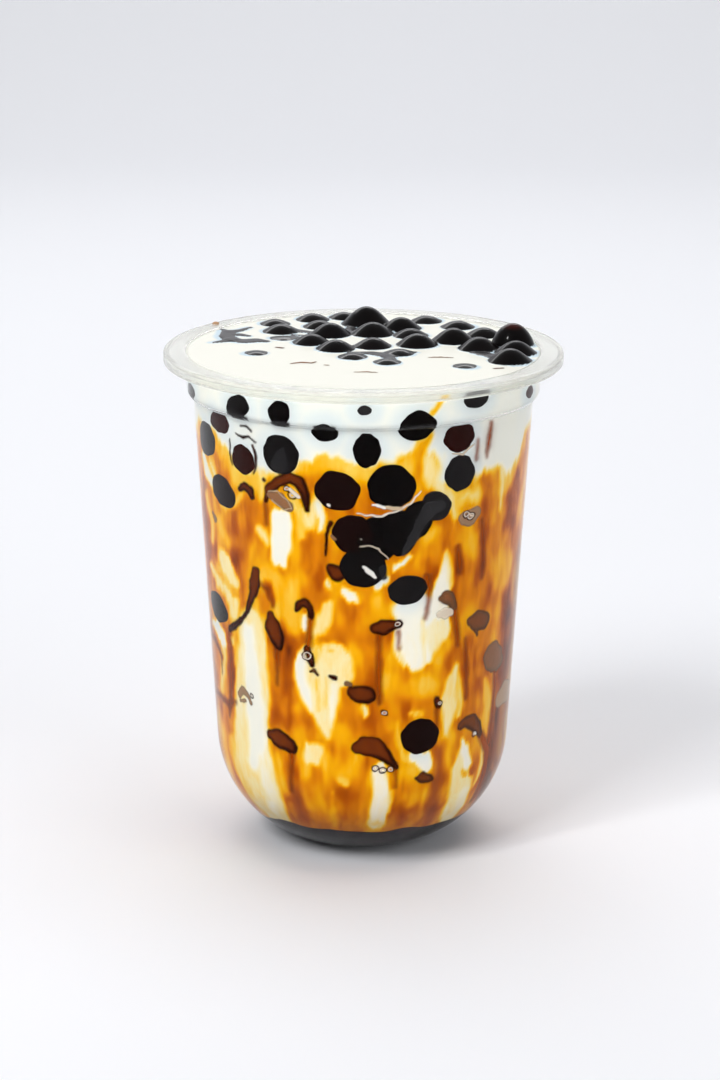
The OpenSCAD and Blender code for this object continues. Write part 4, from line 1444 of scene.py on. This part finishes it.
class StageSettings(PropertyGroup):
    floor_colour: colour_property("Floor", "Colour of the floor", 246, 247, 251)
    key: power_property("Key Light", "Power of the soft light at the front left", 7.0)
    fill: power_property("Fill Light", "Power of the wide light at the front right", 6.5)
    top: power_property("Top Light", "Power of the wide light overhead", 8.0)
    backdrop: power_property("Backdrop Light", "Power of the light on the floor's far curve", 1.4)
    gleam: power_property("Gleam Light", "Power of the long light behind, which shows on the pearls", 1.5)
    window: power_property("Window Light", "Power of the small light that shows as a highlight", 1.2)
    surround: factor_property("Surround", "Strength of the light from all round", 0.16)
    lens: FloatProperty(name="Lens", description="Focal length of the camera", default=114.76,
                        min=1.0, unit="CAMERA")
    pitch: angle_property("Pitch", "Turn of the camera up from straight down", 90 - 15.464)
    roll: angle_property("Roll", "Turn of the camera about its own axis", 0.189)
    camera: FloatVectorProperty(name="Camera", description="Place of the camera",
                                default=(-0.00067, -0.8, 0.2946), size=3, precision=5, subtype="TRANSLATION")


class BUBBLETEA_OT_cup(Operator):
    """Build the clear cup"""
    bl_idname = "bubble_tea.cup"
    bl_label = "Cup"

    def execute(self, context):
        build_cup(context.scene.bubble_tea_cup)
        return {"FINISHED"}


class BUBBLETEA_OT_tea(Operator):
    """Build the milk tea with its streaks of syrup"""
    bl_idname = "bubble_tea.tea"
    bl_label = "Milk Tea"

    def execute(self, context):
        build_tea(context.scene.bubble_tea_drink)
        return {"FINISHED"}


class BUBBLETEA_OT_syrup(Operator):
    """Build the dark syrup at the bottom"""
    bl_idname = "bubble_tea.syrup"
    bl_label = "Bottom Syrup"

    def execute(self, context):
        build_syrup(context.scene.bubble_tea_drink)
        return {"FINISHED"}


class BUBBLETEA_OT_pearls(Operator):
    """Build the pearls that break the surface"""
    bl_idname = "bubble_tea.pearls"
    bl_label = "Pearls on Top"

    def execute(self, context):
        build_pearls(context.scene.bubble_tea_topping)
        return {"FINISHED"}


class BUBBLETEA_OT_film(Operator):
    """Build the dark skin of syrup between the pearls on top"""
    bl_idname = "bubble_tea.film"
    bl_label = "Syrup Film"

    def execute(self, context):
        build_film(context.scene.bubble_tea_topping)
        return {"FINISHED"}


class BUBBLETEA_OT_wall_pearls(Operator):
    """Build the pearls that show through the wall"""
    bl_idname = "bubble_tea.wall_pearls"
    bl_label = "Pearls at the Wall"

    def execute(self, context):
        build_wall_pearls(context.scene.bubble_tea_topping)
        return {"FINISHED"}


class BUBBLETEA_OT_drips(Operator):
    """Build the drips, foam and bubbles of syrup"""
    bl_idname = "bubble_tea.drips"
    bl_label = "Drips"

    def execute(self, context):
        build_drips(context.scene.bubble_tea_topping)
        return {"FINISHED"}


class BUBBLETEA_OT_stage(Operator):
    """Build the floor, the lights and the camera"""
    bl_idname = "bubble_tea.stage"
    bl_label = "Stage"

    def execute(self, context):
        build_stage(context.scene.bubble_tea_stage)
        return {"FINISHED"}


class BUBBLETEA_PT_sidebar(Panel):
    bl_idname = "BUBBLETEA_PT_sidebar"
    bl_label = "Bubble Tea"
    bl_space_type = "VIEW_3D"
    bl_region_type = "UI"
    bl_category = "Bubble Tea"

    def draw(self, context):
        for title, name, operators in SECTIONS:
            box = self.layout.box()
            box.label(text=title)
            settings = getattr(context.scene, name)
            for key in settings.__annotations__:
                box.prop(settings, key)
            for operator in operators:
                box.operator(operator.bl_idname)


SECTIONS = [
    ("Cup", "bubble_tea_cup", [BUBBLETEA_OT_cup]),
    ("Drink", "bubble_tea_drink", [BUBBLETEA_OT_tea, BUBBLETEA_OT_syrup]),
    ("Toppings", "bubble_tea_topping",
     [BUBBLETEA_OT_pearls, BUBBLETEA_OT_film, BUBBLETEA_OT_wall_pearls, BUBBLETEA_OT_drips]),
    ("Stage", "bubble_tea_stage", [BUBBLETEA_OT_stage]),
]

SETTINGS = {
    "bubble_tea_cup": CupSettings,
    "bubble_tea_drink": DrinkSettings,
    "bubble_tea_topping": ToppingSettings,
    "bubble_tea_stage": StageSettings,
}


def register():
    for name, settings in SETTINGS.items():
        bpy.utils.register_class(settings)
        setattr(bpy.types.Scene, name, PointerProperty(type=settings))
    for _, _, operators in SECTIONS:
        for operator in operators:
            bpy.utils.register_class(operator)
    bpy.utils.register_class(BUBBLETEA_PT_sidebar)


def unregister():
    bpy.utils.unregister_class(BUBBLETEA_PT_sidebar)
    for _, _, operators in reversed(SECTIONS):
        for operator in reversed(operators):
            bpy.utils.unregister_class(operator)
    for name, settings in reversed(SETTINGS.items()):
        delattr(bpy.types.Scene, name)
        bpy.utils.unregister_class(settings)


def main():
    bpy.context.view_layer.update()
    register()
    bpy.ops.bubble_tea.cup()
    bpy.ops.bubble_tea.tea()
    bpy.ops.bubble_tea.syrup()
    bpy.ops.bubble_tea.pearls()
    bpy.ops.bubble_tea.film()
    bpy.ops.bubble_tea.wall_pearls()
    bpy.ops.bubble_tea.drips()
    bpy.ops.bubble_tea.stage()


if __name__ == "__main__":
    main()
